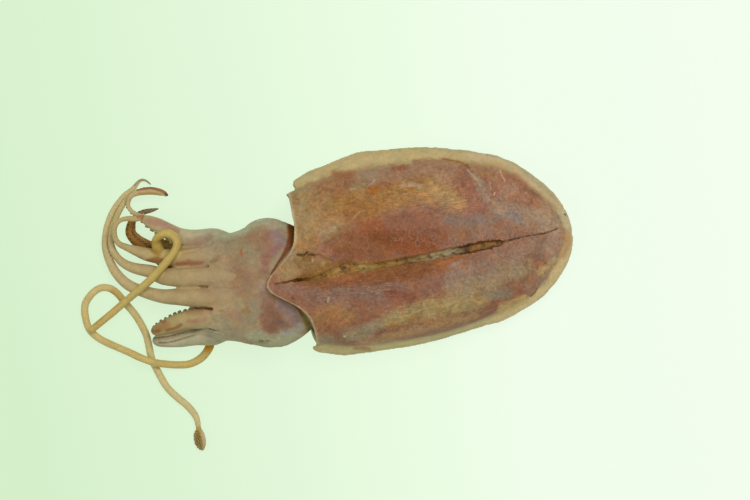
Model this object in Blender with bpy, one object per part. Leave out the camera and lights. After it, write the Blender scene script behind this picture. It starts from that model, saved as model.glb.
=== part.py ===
"""A preserved cuttlefish at life size, lying belly down on a flat surface.

The head points to -X, the tail to +X, the back to +Z, and the animal's right side to +Y.
Numbers are in millimetres and degrees, and MM turns a finished shape into Blender's metres.
"""

import math
import random

import bmesh
import bpy
from mathutils import Matrix, Vector

MM = 0.001
GAP = 0.3  # left between solids that touch in life

# Mantle, in its own frame: S runs along the back from the front lobe's tip to the tail,
# and T runs across it, towards the animal's right.
MANTLE_LENGTH = 52.0
MANTLE_TILT = 10.9
MANTLE_FRONT = (-10.1, 2.4)  # the front lobe's tip in X and Y
LOBE_REACH = 6.6  # how far the front lobe stands past the collar's sides
LOBE_WIDTH = 4.2
BELLY_NOTCH = 1.6  # how far the collar is set back under the throat
COLLAR_WALL = 1.1
POCKET_END = 13.2  # S where the hollow for the neck ends
# The neck's end, deep in that hollow: its sides in T, its bottom and its top
NECK = (-6.8, 5.4, 3.2, 9.2)
MANTLE_SQUARE = 2.25  # 2 is an ellipse, and more is boxier
MANTLE_COLUMNS = 40
MANTLE_ROWS = 21
MANTLE_ROW_BIAS = 0.92  # below 1, rows lie closer towards the tail
POCKET_ROWS = 4

# S, half width on the left, half width on the right, top, bottom, height of the widest line
MANTLE_STATIONS = (
    (0.0, 11.0, 14.6, 11.7, 0.0, 5.6),
    (6.5, 11.3, 15.0, 12.4, -0.2, 5.8),
    (12.5, 12.9, 16.3, 13.2, -0.3, 6.0),
    (20.0, 13.5, 16.6, 13.6, -0.3, 6.1),
    (27.0, 13.6, 16.6, 13.4, -0.3, 6.1),
    (34.0, 12.7, 15.4, 12.6, -0.3, 5.9),
    (40.0, 11.4, 13.4, 11.2, -0.2, 5.6),
    (44.5, 9.7, 11.2, 9.8, 0.4, 5.3),
    (47.8, 7.2, 8.3, 8.5, 1.5, 5.0),
    (50.2, 4.2, 5.0, 7.1, 2.8, 4.9),
    (51.5, 2.0, 2.4, 6.0, 3.8, 4.8),
    (52.0, 0.5, 0.6, 5.1, 4.4, 4.75),
)

# Fins: S at the root, S at the edge, T at the edge, height of the edge
FIN_RIGHT_STATIONS = (
    (8.3, 7.7, 16.7, 4.6),
    (12.5, 12.5, 18.4, 4.3),
    (20.0, 20.2, 19.5, 4.0),
    (27.0, 26.8, 18.9, 4.2),
    (33.5, 33.6, 17.6, 4.4),
    (39.0, 39.2, 16.0, 4.3),
    (43.6, 44.8, 13.4, 4.2),
    (47.0, 48.4, 9.9, 4.3),
    (49.4, 50.9, 7.0, 4.4),
    (50.9, 52.4, 3.9, 4.5),
    (51.7, 52.8, 1.1, 4.6),
)
FIN_LEFT_STATIONS = (
    (7.4, 5.6, 12.3, 3.6),
    (9.6, 8.3, 13.4, 3.3),
    (13.0, 12.4, 14.3, 3.1),
    (20.0, 20.2, 14.7, 3.0),
    (27.0, 27.0, 14.6, 3.1),
    (34.0, 34.6, 13.8, 3.4),
    (39.0, 39.4, 13.3, 3.8),
    (43.0, 43.6, 11.7, 4.0),
    (46.2, 47.0, 10.0, 4.1),
    (48.9, 50.0, 7.3, 4.2),
    (50.6, 52.1, 4.3, 4.4),
    (51.6, 53.0, 1.5, 4.6),
)
FIN_ROOT_HALF = 0.4
FIN_EDGE_HALF = 0.27
FIN_ARCH = 0.3  # how far the middle of a fin bulges up
FIN_STEPS = 34

# Head: X, low Y, high Y, bottom, top
HEAD_STATIONS = (
    (-1.2, -3.6, 10.0, 3.0, 9.5),
    (-3.2, -5.6, 11.3, 3.0, 9.7),
    (-5.8, -7.3, 12.9, 2.9, 10.0),
    (-8.0, -7.9, 13.6, 2.5, 10.1),
    (-10.0, -7.95, 14.0, 1.7, 10.1),
    (-12.0, -7.7, 13.5, 0.7, 10.0),
    (-14.5, -7.2, 12.2, -0.1, 9.8),
    (-16.6, -6.95, 11.5, -0.2, 9.55),
    (-18.4, -6.9, 11.4, -0.1, 9.3),
)
NECK_REACH = 4.0  # from the last of these to the neck's end
HEAD_SQUARE = 2.5
HEAD_COLUMNS = 36
HEAD_ROWS = 17
# The swelling over each eyeball: its middle in X and Y, its reach and its height
EYE_SWELLINGS = ((-9.9, 10.4, 3.6, 0.35), (-9.0, -3.8, 3.6, 0.35))

EYE_HALF_LENGTH = 2.3
EYE_HALF_HEIGHT = 1.55
EYE_HALF_DEPTH = 1.5
EYE_GRID = (16, 9)  # sides and rows of an eyeball
SOCKET_GRID = (20, 11)
# X, Y and Z of each eye's middle, the way it looks in the floor plan, and its tilt upwards
EYE_RIGHT = (-10.4, 12.4, 5.6, 96.0, 14.0)
EYE_LEFT = (-10.0, -6.35, 5.6, -96.0, 14.0)
LID_THICKNESS = 0.42
LID_UPPER = 1.25  # the upper lid's thickness, in lid thicknesses
LID_SPREAD = 1.24  # the lid's ring, in eye sizes
LID_OUT = 0.9  # how far the ring stands out from the eye's middle
LID_CORNERS = 0.55  # how far its two corners lie back from that
LID_COLUMNS = 24
LID_SIDES = 6

# Funnel: X, Y, half width, top
FUNNEL_STATIONS = (
    (-3.1, 3.7, 3.4, 2.4),
    (-5.0, 3.6, 3.5, 2.35),
    (-7.2, 3.4, 3.0, 2.0),
    (-9.0, 3.2, 2.4, 1.5),
    (-10.5, 3.1, 1.9, 0.95),
)
FUNNEL_MOUTH_DEPTH = 1.4
FUNNEL_WALL_SHARE = 0.55
FUNNEL_SQUARE = 2.4
FUNNEL_COLUMNS = 20

# Mouth, in the middle of the arms: middle, and half sizes
BUCCAL_MASS = ((-19.9, 2.2, 4.65), (1.1, 1.9, 0.95))
BEAK = ((-21.75, 2.2, 4.6), (0.45, 0.5, 0.45))
BUCCAL_GRID = (14, 7)
BEAK_GRID = (8, 5)

# Arms and tentacles: X, Y, Z, width and height of each place on the route, from the root out.
# An arm's oral angles turn the sucker side from straight up, at its root and at its tip.
# Cuts are shares of the length where one solid ends and the next begins.
ARM_1_RIGHT = (
    (-19.0, 4.05, 7.6, 3.2, 3.4),
    (-23.3, 4.0, 6.6, 3.0, 3.1),
    (-25.7, 4.0, 5.5, 2.8, 2.8),
    (-28.0, 4.15, 4.3, 2.5, 2.4),
    (-30.2, 4.95, 3.4, 2.0, 2.0),
    (-33.2, 5.6, 2.8, 1.6, 1.6),
    (-35.3, 6.75, 2.4, 1.3, 1.3),
    (-36.6, 8.5, 2.3, 1.1, 1.1),
    (-37.0, 10.3, 2.25, 1.0, 1.0),
    (-36.7, 12.4, 2.2, 0.95, 0.95),
    (-35.8, 14.8, 2.15, 0.9, 0.9),
    (-34.6, 16.9, 2.1, 0.8, 0.8),
    (-33.6, 18.05, 2.05, 0.6, 0.6),
    (-32.9, 18.65, 2.0, 0.3, 0.3),
)
ARM_1_LEFT = (
    (-19.0, 0.55, 7.6, 3.1, 3.4),
    (-23.3, 0.55, 6.5, 2.7, 2.9),
    (-25.7, 0.6, 5.3, 2.4, 2.5),
    (-28.0, 0.7, 4.2, 2.1, 2.1),
    (-31.2, 1.45, 2.9, 1.8, 1.8),
    (-34.1, 2.7, 2.1, 1.65, 1.65),
    (-36.2, 4.8, 1.6, 1.5, 1.5),
    (-37.4, 7.1, 1.35, 1.3, 1.3),
    (-38.0, 9.15, 1.2, 1.15, 1.15),
    (-38.0, 11.0, 1.1, 1.05, 1.05),
    (-37.65, 12.9, 1.05, 1.0, 1.0),
    (-36.8, 15.15, 1.0, 0.95, 0.95),
    (-35.6, 17.0, 1.0, 0.9, 0.9),
    (-34.4, 18.3, 1.0, 0.85, 0.85),
    (-33.3, 19.1, 1.0, 0.8, 0.8),
    (-32.6, 19.95, 0.95, 0.65, 0.65),
    (-32.0, 20.6, 0.9, 0.5, 0.5),
    (-31.3, 20.65, 0.85, 0.42, 0.42),
    (-30.65, 20.3, 0.8, 0.36, 0.36),
    (-30.1, 19.8, 0.75, 0.2, 0.2),
)
ARM_2_RIGHT = (
    (-19.0, 7.35, 6.4, 3.0, 3.6),
    (-23.3, 7.3, 5.6, 2.9, 3.1),
    (-25.8, 7.35, 4.6, 2.8, 2.8),
    (-28.4, 7.5, 3.9, 2.5, 2.4),
    (-30.5, 7.8, 3.7, 2.2, 2.1),
    (-32.5, 8.45, 3.7, 1.7, 1.7),
    (-34.3, 9.1, 3.8, 1.2, 1.2),
    (-35.7, 9.85, 4.0, 1.0, 1.0),
    (-36.3, 11.2, 4.2, 0.9, 0.9),
    (-36.2, 12.65, 4.4, 0.85, 0.85),
    (-35.5, 13.6, 4.6, 0.8, 0.8),
    (-34.4, 14.0, 4.8, 0.85, 0.85),
    (-33.1, 14.0, 4.9, 1.0, 1.0),
    (-32.0, 14.1, 4.9, 0.95, 0.95),
    (-31.4, 14.5, 4.85, 0.5, 0.5),
    (-31.3, 15.0, 4.8, 0.25, 0.25),
)
ARM_2_LEFT = (
    (-19.0, -3.0, 6.3, 3.6, 3.6),
    (-22.9, -3.0, 5.6, 3.8, 3.4),
    (-25.5, -3.65, 4.7, 3.6, 3.1),
    (-27.6, -4.4, 3.95, 3.0, 2.6),
    (-28.8, -4.95, 3.3, 2.3, 2.1),
    (-29.3, -5.2, 2.35, 1.6, 1.6),
    (-29.0, -4.9, 1.5, 1.2, 1.2),
    (-28.2, -4.3, 1.05, 0.9, 0.9),
    (-27.0, -3.7, 0.8, 0.5, 0.5),
    (-25.9, -3.3, 0.7, 0.25, 0.25),
)
ARM_3_RIGHT = (
    (-19.0, 10.1, 4.3, 2.6, 3.8),
    (-22.4, 10.15, 4.4, 2.7, 3.5),
    (-25.0, 10.7, 4.4, 2.7, 3.1),
    (-27.0, 11.7, 4.25, 2.6, 2.8),
    (-28.9, 12.8, 4.0, 2.4, 2.5),
    (-30.5, 13.6, 3.6, 1.9, 1.9),
    (-31.5, 14.1, 3.4, 1.2, 1.2),
    (-32.4, 14.7, 3.3, 0.8, 0.8),
    (-33.4, 15.3, 3.25, 0.75, 0.75),
    (-34.0, 16.2, 3.2, 0.75, 0.75),
    (-33.9, 17.1, 3.2, 0.75, 0.75),
    (-33.5, 17.9, 3.2, 0.8, 0.8),
    (-32.6, 18.4, 3.1, 1.0, 1.0),
    (-31.5, 18.7, 2.9, 1.25, 1.2),
    (-30.1, 18.8, 2.7, 1.35, 1.25),
    (-28.9, 18.65, 2.5, 1.25, 1.15),
    (-27.8, 18.35, 2.3, 0.9, 0.85),
    (-27.1, 17.95, 2.15, 0.25, 0.25),
)
ARM_3_LEFT = (
    (-19.0, -5.7, 3.7, 2.6, 3.2),
    (-22.4, -6.15, 3.45, 2.3, 2.7),
    (-25.0, -6.75, 3.15, 2.0, 2.2),
    (-27.2, -7.05, 2.9, 1.6, 1.9),
    (-28.6, -7.1, 2.4, 1.4, 1.5),
    (-29.25, -6.95, 1.6, 1.1, 1.1),
    (-29.2, -6.5, 0.85, 0.8, 0.8),
    (-28.6, -6.0, 0.55, 0.55, 0.55),
    (-27.6, -5.6, 0.45, 0.25, 0.25),
)
ARM_4_RIGHT = (
    (-19.0, 4.8, 1.7, 4.2, 3.0),
    (-23.3, 5.2, 1.5, 3.8, 2.6),
    (-26.4, 6.2, 1.25, 3.3, 2.1),
    (-28.8, 7.8, 1.1, 2.9, 1.8),
    (-30.8, 9.05, 1.05, 2.4, 1.7),
    (-32.5, 10.2, 1.0, 2.0, 1.5),
    (-33.6, 11.45, 1.0, 1.7, 1.3),
    (-33.6, 12.75, 1.0, 1.5, 1.1),
    (-33.2, 13.85, 1.0, 1.1, 0.9),
    (-32.3, 14.75, 1.0, 0.9, 0.8),
    (-31.1, 15.25, 1.0, 0.85, 0.75),
    (-29.9, 15.5, 1.0, 0.6, 0.55),
    (-28.8, 15.8, 1.0, 0.2, 0.2),
)
ARM_4_LEFT = (
    (-19.0, -0.3, 1.7, 4.2, 3.0),
    (-20.2, -0.45, 1.65, 4.1, 2.9),
    (-22.4, -2.6, 1.4, 3.7, 2.3),
    (-24.7, -5.0, 0.95, 2.9, 1.5),
    (-26.4, -6.5, 0.8, 2.2, 1.2),
    (-27.7, -7.05, 0.7, 1.4, 0.9),
    (-28.5, -7.1, 0.6, 0.3, 0.3),
)
# Name, route, oral angle at the root, oral angle at the tip, cuts, share where suckers start
ARMS = (
    ("arm_1_right", ARM_1_RIGHT, 180.0, 180.0, (0.34, 0.66), 0.16),
    ("arm_1_left", ARM_1_LEFT, 180.0, 180.0, (0.34, 0.66), 0.14),
    ("arm_2_right", ARM_2_RIGHT, -125.0, -100.0, (0.36, 0.61), 0.24),
    ("arm_2_left", ARM_2_LEFT, 80.0, 110.0, (0.36, 0.58), 0.2),
    ("arm_3_right", ARM_3_RIGHT, -95.0, -80.0, (0.34, 0.62), 0.26),
    ("arm_3_left", ARM_3_LEFT, 120.0, 120.0, (0.4, 0.7), 0.3),
    ("arm_4_right", ARM_4_RIGHT, -40.0, 0.0, (0.36, 0.66), 0.24),
    ("arm_4_left", ARM_4_LEFT, 30.0, 30.0, (0.5,), 0.3),
)
ARM_PIECES = ("base", "middle", "tip")
ARM_SIDES = 8
ARM_STEP = 1.25
AIM = 0.2  # how far to both sides of a place its direction is read
ORAL_FLAT = 0.78  # an arm's sucker side is flatter than its back

TENTACLE_RIGHT = (
    (-19.0, 7.7, 3.2, 1.5, 1.5),
    (-21.0, 7.85, 3.0, 1.5, 1.5),
    (-23.3, 8.0, 2.8, 1.5, 1.5),
    (-25.5, 8.65, 2.3, 1.5, 1.5),
    (-27.2, 9.4, 2.4, 1.5, 1.5),
    (-28.5, 9.95, 3.2, 1.5, 1.5),
    (-29.2, 10.0, 4.4, 1.5, 1.5),
    (-29.35, 10.1, 5.6, 1.55, 1.55),
    (-28.8, 10.9, 6.5, 1.6, 1.6),
    (-27.4, 11.55, 6.95, 1.65, 1.6),
    (-26.0, 11.05, 7.1, 1.65, 1.6),
    (-25.4, 9.85, 7.1, 1.6, 1.55),
    (-25.8, 8.45, 7.1, 1.6, 1.5),
    (-26.9, 7.0, 7.0, 1.6, 1.5),
    (-28.4, 5.2, 6.7, 1.6, 1.5),
    (-30.1, 3.4, 6.0, 1.55, 1.5),
    (-32.4, 1.45, 4.5, 1.5, 1.45),
    (-34.65, -0.45, 3.1, 1.45, 1.4),
    (-37.3, -2.7, 2.45, 1.4, 1.35),
    (-39.4, -4.4, 2.35, 1.4, 1.35),
    (-40.5, -5.3, 2.3, 1.35, 1.3),
)
TENTACLE_LEFT = (
    (-19.3, -3.8, 0.9, 1.45, 1.45),
    (-19.7, -4.4, 0.85, 1.5, 1.5),
    (-19.95, -5.6, 0.8, 1.6, 1.55),
    (-19.9, -6.8, 0.8, 1.65, 1.6),
    (-20.05, -7.9, 0.75, 1.55, 1.5),
    (-20.9, -9.35, 0.7, 1.45, 1.4),
    (-22.0, -10.3, 0.7, 1.4, 1.4),
    (-23.6, -11.0, 0.7, 1.35, 1.35),
    (-25.7, -11.15, 0.85, 1.3, 1.3),
    (-27.7, -11.0, 1.55, 1.3, 1.3),
    (-29.8, -10.65, 2.35, 1.3, 1.3),
    (-31.8, -9.95, 2.0, 1.3, 1.3),
    (-33.9, -9.0, 1.1, 1.3, 1.3),
    (-36.1, -8.05, 0.7, 1.3, 1.3),
    (-38.2, -7.1, 0.63, 1.3, 1.3),
    (-39.7, -6.15, 0.62, 1.3, 1.3),
    (-40.75, -5.05, 0.62, 1.3, 1.3),
    (-41.4, -3.2, 0.62, 1.3, 1.3),
    (-41.55, -0.95, 0.62, 1.3, 1.3),
    (-40.65, 0.75, 0.62, 1.3, 1.3),
    (-39.1, 2.0, 0.62, 1.3, 1.3),
    (-37.5, 2.1, 0.62, 1.3, 1.3),
    (-36.0, 1.2, 0.62, 1.3, 1.3),
    (-34.65, -0.45, 0.62, 1.3, 1.3),
    (-33.0, -2.35, 0.62, 1.3, 1.3),
    (-31.85, -4.2, 0.62, 1.3, 1.3),
    (-30.95, -6.1, 0.62, 1.3, 1.3),
    (-30.5, -8.05, 0.62, 1.3, 1.3),
    (-30.0, -10.2, 0.62, 1.3, 1.3),
    (-28.9, -12.45, 0.62, 1.3, 1.3),
    (-27.4, -15.0, 0.62, 1.3, 1.3),
    (-25.85, -16.55, 0.62, 1.3, 1.3),
    (-23.6, -18.5, 0.62, 1.3, 1.3),
    (-22.4, -20.15, 0.6, 1.2, 1.25),
    (-22.0, -21.8, 0.58, 1.1, 1.2),
)
TENTACLES = (
    ("tentacle_right", TENTACLE_RIGHT, (0.24, 0.52), ("root", "ring", "shaft")),
    (
        "tentacle_left",
        TENTACLE_LEFT,
        (0.16, 0.33, 0.52, 0.72),
        ("root", "crossing", "bend", "return", "end"),
    ),
)
TENTACLE_SIDES = 8
TENTACLE_STEP = 1.35
CLUB = (
    (-21.97, -22.15, 0.75, 1.1, 1.1),
    (-21.9, -22.9, 0.8, 1.9, 1.35),
    (-21.7, -24.0, 0.8, 2.3, 1.45),
    (-21.5, -25.1, 0.75, 1.8, 1.2),
    (-21.3, -25.9, 0.6, 0.5, 0.5),
)
CLUB_ORAL = 40.0
CLUB_STEP = 0.45
CLUB_SIDES = 10

SUCKER_SIDES = 6
# A sucker's foot, waist and rim: the width and the height, in sucker radii
SUCKER_RINGS = ((0.75, -1.0), (1.0, 0.55), (0.55, 0.75))
SUCKER_CUP = 0.3  # height of the cup's bottom
SUCKER_ROW_ANGLE = 32.0  # each row lies this far to its side of the oral midline
SUCKER_PITCH = 1.0  # from a sucker of one row to the next one of the other row
SUCKER_SHARE = 0.11  # a sucker's radius, as a share of the arm's width
SUCKER_LEAST = 0.1  # and what is added to that share
SUCKER_SPREAD = 0.1  # how far sizes stray from that, up or down
SUCKER_CLEAR = 0.2  # from a sucker to the end of its solid
SUCKER_SEED = 7
CLUB_SUCKER_PITCH = 0.42
CLUB_SUCKER_ENDS = 0.45

COLOURS = {
    "mantle": (0.47, 0.24, 0.15),
    "fin": (0.60, 0.47, 0.28),
    "head": (0.47, 0.33, 0.26),
    "arm": (0.52, 0.35, 0.22),
    "tentacle": (0.60, 0.43, 0.18),
    "eye": (0.09, 0.06, 0.07),
    "beak": (0.10, 0.05, 0.03),
}
ROUGHNESS = {"eye": 0.15, "beak": 0.3}


def clear_scene():
    for obj in list(bpy.data.objects):
        bpy.data.objects.remove(obj)


def material(name):
    """The Principled material of one colour name, made once."""
    if name in bpy.data.materials:
        return bpy.data.materials[name]
    made = bpy.data.materials.new(name)
    made.use_nodes = True
    shader = made.node_tree.nodes["Principled BSDF"]
    shader.inputs["Base Color"].default_value = (*COLOURS[name], 1.0)
    shader.inputs["Roughness"].default_value = ROUGHNESS.get(name, 0.45)
    return made


def add_object(name, verts, faces, colour):
    """One smooth-shaded object from points in millimetres."""
    mesh = bpy.data.meshes.new(name)
    mesh.from_pydata([Vector(v) * MM for v in verts], [], faces)
    mesh.validate()
    mesh.shade_smooth()
    mesh.materials.append(material(colour))
    obj = bpy.data.objects.new(name, mesh)
    bpy.context.scene.collection.objects.link(obj)
    return obj


def slope(keys, rows, i, column):
    """The rate of change at row i, from the rows on its two sides."""
    before = max(i - 1, 0)
    after = min(i + 1, len(rows) - 1)
    return (rows[after][column] - rows[before][column]) / (keys[after] - keys[before])


def between(keys, rows, at):
    """The row at one key, on a smooth curve through all the rows."""
    i = 0
    while i < len(keys) - 2 and at > keys[i + 1]:
        i += 1
    span = keys[i + 1] - keys[i]
    t = (at - keys[i]) / span
    near = 2 * t**3 - 3 * t**2 + 1
    leave = (t**3 - 2 * t**2 + t) * span
    arrive = (t**3 - t**2) * span
    return [
        near * rows[i][c]
        + (1 - near) * rows[i + 1][c]
        + leave * slope(keys, rows, i, c)
        + arrive * slope(keys, rows, i + 1, c)
        for c in range(len(rows[0]))
    ]


def route_keys(route):
    """The distance of each place from the route's start."""
    keys = [0.0]
    for one, two in zip(route, route[1:]):
        keys.append(keys[-1] + (Vector(two[:3]) - Vector(one[:3])).length)
    return keys


def piece_frames(route, start, end, step):
    """Frames that begin exactly at start and end exactly at end."""
    keys = route_keys(route)
    steps_before = round(start / step)
    up = Vector((0, 0, 1))
    places = [start * k / max(1, steps_before) for k in range(steps_before)]
    count = max(2, round((end - start) / step))
    places += [start + (end - start) * k / count for k in range(count + 1)]
    found = []
    for at in places:
        row = between(keys, route, at)
        behind = between(keys, route, max(0.0, at - AIM))
        ahead = between(keys, route, min(keys[-1], at + AIM))
        forward = (Vector(ahead[:3]) - Vector(behind[:3])).normalized()
        up = (up - forward * up.dot(forward)).normalized()
        found.append((Vector(row[:3]), forward, up, row[3], row[4], at))
    return found[-(count + 1) :]


def section_point(frame, oral, angle):
    """A point of an arm's section. Angle 0 is the middle of its back."""
    point, forward, up, width, height, _ = frame
    turn = math.radians(oral)
    side = forward.cross(up)
    mouthward = up * math.cos(turn) + side * math.sin(turn)
    across = forward.cross(mouthward)
    depth = -math.cos(angle) * height / 2
    if depth > 0:
        depth *= ORAL_FLAT
    return point + mouthward * depth + across * (math.sin(angle) * width / 2)


def on_floor(point):
    """The same point, or the place on the floor right above it."""
    return Vector((point[0], point[1], max(point[2], 0.0)))


def tube_mesh(frames, oral_at, sides):
    """The points and faces of a closed tube with flat ends."""
    verts = []
    for frame in frames:
        for k in range(sides):
            angle = 2 * math.pi * k / sides
            verts.append(on_floor(section_point(frame, oral_at(frame[5]), angle)))
    faces = []
    for i in range(len(frames) - 1):
        for k in range(sides):
            a = i * sides + k
            b = i * sides + (k + 1) % sides
            faces.append((a, b, b + sides, a + sides))
    faces.append(tuple(range(sides))[::-1])
    last = (len(frames) - 1) * sides
    faces.append(tuple(range(last, last + sides)))
    return verts, faces


def volume_sign(verts, faces):
    total = 0.0
    for face in faces:
        for k in range(1, len(face) - 1):
            a, b, c = (Vector(verts[n]) for n in (face[0], face[k], face[k + 1]))
            total += a.dot(b.cross(c))
    return total


def facing_out(verts, faces):
    """The faces, turned round if they face inwards."""
    if volume_sign(verts, faces) < 0:
        return [tuple(face[::-1]) for face in faces]
    return faces


def lengths_of(route, cuts):
    """Start and end of each solid along a route, a gap apart."""
    total = route_keys(route)[-1]
    ends = [0.0] + [total * cut for cut in cuts] + [total]
    found = []
    for i in range(len(ends) - 1):
        start = ends[i] + (GAP / 2 if i else 0.0)
        end = ends[i + 1] - (GAP / 2 if i < len(ends) - 2 else 0.0)
        found.append((start, end))
    return found


def sucker_mesh(base, out, radius):
    """A short cup with a hollow top, its foot sunk below base."""
    side = out.orthogonal().normalized()
    other = out.cross(side)
    verts = []
    for scale, height in SUCKER_RINGS:
        for k in range(SUCKER_SIDES):
            angle = 2 * math.pi * k / SUCKER_SIDES
            rim = side * math.cos(angle) + other * math.sin(angle)
            verts.append(base + rim * radius * scale + out * radius * height)
    verts.append(base + out * radius * SUCKER_CUP)
    faces = [tuple(range(SUCKER_SIDES))[::-1]]
    for ring in range(2):
        for k in range(SUCKER_SIDES):
            a = ring * SUCKER_SIDES + k
            b = ring * SUCKER_SIDES + (k + 1) % SUCKER_SIDES
            faces.append((a, b, b + SUCKER_SIDES, a + SUCKER_SIDES))
    top = 2 * SUCKER_SIDES
    for k in range(SUCKER_SIDES):
        faces.append((top + k, top + (k + 1) % SUCKER_SIDES, 3 * SUCKER_SIDES))
    return verts, facing_out(verts, faces)


def add_suckers(obj, route, oral_at, start, end, pitch, draw):
    """Two staggered rows of suckers from start to end, joined to the arm's solid."""
    if end - start < pitch:
        return
    suckers = bpy.data.collections.new("suckers")
    colour = obj.data.materials[0].name
    for n, frame in enumerate(piece_frames(route, start, end, pitch)):
        oral, width = oral_at(frame[5]), frame[3]
        row = math.radians(SUCKER_ROW_ANGLE) * (1 if n % 2 else -1)
        base = section_point(frame, oral, math.pi + row)
        out = (base - frame[0]).normalized()
        radius = width * SUCKER_SHARE + SUCKER_LEAST
        radius *= draw.uniform(1 - SUCKER_SPREAD, 1 + SUCKER_SPREAD)
        if base.z + out.z * radius < radius:
            continue
        verts, faces = sucker_mesh(base, out, radius)
        sucker = add_object("sucker", verts, faces, colour)
        bpy.context.scene.collection.objects.unlink(sucker)
        suckers.objects.link(sucker)
    merge(obj, suckers)


def build_arms(draw):
    for name, route, oral_root, oral_tip, cuts, first_sucker in ARMS:
        total = route_keys(route)[-1]

        def oral_at(distance):
            return oral_root + (oral_tip - oral_root) * distance / total

        names = ARM_PIECES if len(cuts) == 2 else (ARM_PIECES[0], ARM_PIECES[2])
        for piece, (start, end) in zip(names, lengths_of(route, cuts)):
            frames = piece_frames(route, start, end, ARM_STEP)
            verts, faces = tube_mesh(frames, oral_at, ARM_SIDES)
            arm = add_object(f"{name}_{piece}", verts, facing_out(verts, faces), "arm")
            first = max(start + sucker_room(frames[0]), total * first_sucker)
            last = end - sucker_room(frames[-1])
            add_suckers(arm, route, oral_at, first, last, SUCKER_PITCH, draw)


def sucker_room(frame):
    """How far from an arm's cut end its nearest sucker's middle lies."""
    return frame[3] * SUCKER_SHARE + SUCKER_LEAST + SUCKER_CLEAR


def build_tentacles(draw):
    for name, route, cuts, pieces in TENTACLES:
        for piece, (start, end) in zip(pieces, lengths_of(route, cuts)):
            frames = piece_frames(route, start, end, TENTACLE_STEP)
            verts, faces = tube_mesh(frames, lambda distance: 180.0, TENTACLE_SIDES)
            add_object(f"{name}_{piece}", verts, facing_out(verts, faces), "tentacle")
    total = route_keys(CLUB)[-1]
    frames = piece_frames(CLUB, 0.0, total, CLUB_STEP)
    verts, faces = tube_mesh(frames, lambda distance: CLUB_ORAL, CLUB_SIDES)
    faces = facing_out(verts, faces)
    club = add_object("tentacle_left_club", verts, faces, "tentacle")
    first, last = CLUB_SUCKER_ENDS, total - CLUB_SUCKER_ENDS
    add_suckers(club, CLUB, lambda distance: CLUB_ORAL, first, last, CLUB_SUCKER_PITCH, draw)


def mantle_to_world(s, t, z):
    turn = math.radians(MANTLE_TILT)
    x = MANTLE_FRONT[0] + s * math.cos(turn) - t * math.sin(turn)
    y = MANTLE_FRONT[1] + s * math.sin(turn) + t * math.cos(turn)
    return Vector((x, y, z))


def mantle_station(s):
    keys = [row[0] for row in MANTLE_STATIONS]
    return between(keys, MANTLE_STATIONS, s)[1:]


def rounded(value, square):
    """The cosine or sine of a superellipse, from that of a circle."""
    return math.copysign(abs(value) ** (2 / square), value)


def mantle_point(s, angle, inset=0.0):
    left, right, top, bottom, widest = mantle_station(s)
    across = rounded(math.cos(angle), MANTLE_SQUARE)
    along = rounded(math.sin(angle), MANTLE_SQUARE)
    t = across * ((right if across > 0 else left) - inset)
    z = widest + along * ((top - widest if along > 0 else widest - bottom) - inset)
    return t, z


def neck_point(angle, s, grow):
    """A point round the neck's end, larger by grow on every side."""
    low_t, high_t, low, high = NECK
    across = rounded(math.cos(angle), HEAD_SQUARE) * ((high_t - low_t) / 2 + grow)
    along = rounded(math.sin(angle), HEAD_SQUARE) * ((high - low) / 2 + grow)
    return mantle_to_world(s, (low_t + high_t) / 2 + across, (low + high) / 2 + along)


def collar_at(angle):
    """S of the collar's edge: a lobe over the neck, and a notch below."""
    if math.sin(angle) > 0:
        t = mantle_point(LOBE_REACH, angle)[0]
        return LOBE_REACH * (1 - math.exp(-((t / LOBE_WIDTH) ** 2)))
    return LOBE_REACH + BELLY_NOTCH * math.sin(angle) ** 2


def build_mantle():
    verts = []
    for i in range(MANTLE_ROWS):
        share = (i / (MANTLE_ROWS - 1)) ** MANTLE_ROW_BIAS
        for k in range(MANTLE_COLUMNS):
            angle = 2 * math.pi * k / MANTLE_COLUMNS
            front = collar_at(angle)
            s = front + (MANTLE_LENGTH - front) * share
            t, z = mantle_point(s, angle)
            verts.append(on_floor(mantle_to_world(s, t, z)))
    for i in range(POCKET_ROWS):
        for k in range(MANTLE_COLUMNS):
            angle = 2 * math.pi * k / MANTLE_COLUMNS
            front = collar_at(angle)
            t, z = mantle_point(front, angle, COLLAR_WALL)
            inner = mantle_to_world(front, t, z)
            deep = neck_point(angle, POCKET_END, GAP)
            verts.append(inner.lerp(deep, i / (POCKET_ROWS - 1)))
    columns = MANTLE_COLUMNS
    faces = []
    order = list(range(MANTLE_ROWS))[::-1]
    order += [MANTLE_ROWS + i for i in range(POCKET_ROWS)]
    for one, two in zip(order, order[1:]):
        for k in range(columns):
            after = (k + 1) % columns
            faces.append(
                (
                    one * columns + k,
                    one * columns + after,
                    two * columns + after,
                    two * columns + k,
                )
            )
    faces.append(tuple(order[0] * columns + k for k in range(columns))[::-1])
    faces.append(tuple(order[-1] * columns + k for k in range(columns)))
    add_object("mantle", verts, facing_out(verts, faces), "mantle")


def fin_lines(row, side):
    """Root and edge of a fin at one station, and the way that its upper face looks."""
    root_s, edge_s, edge_t, edge_z = row
    left, right, _, _, widest = mantle_station(root_s)
    half = right if side > 0 else left
    outward = mantle_to_world(0, side, 0) - mantle_to_world(0, 0, 0)
    edge = mantle_to_world(edge_s, side * (edge_t - FIN_EDGE_HALF), edge_z)
    wall = mantle_to_world(root_s, side * half, widest)
    blade = edge - wall
    blade -= blade.project(outward.cross(Vector((0, 0, 1))))
    normal = (outward * -blade.z + Vector((0, 0, 1)) * blade.dot(outward)).normalized()
    root = wall + outward * (GAP + FIN_ROOT_HALF * max(0.0, normal.dot(outward)))
    return root, edge, normal


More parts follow.
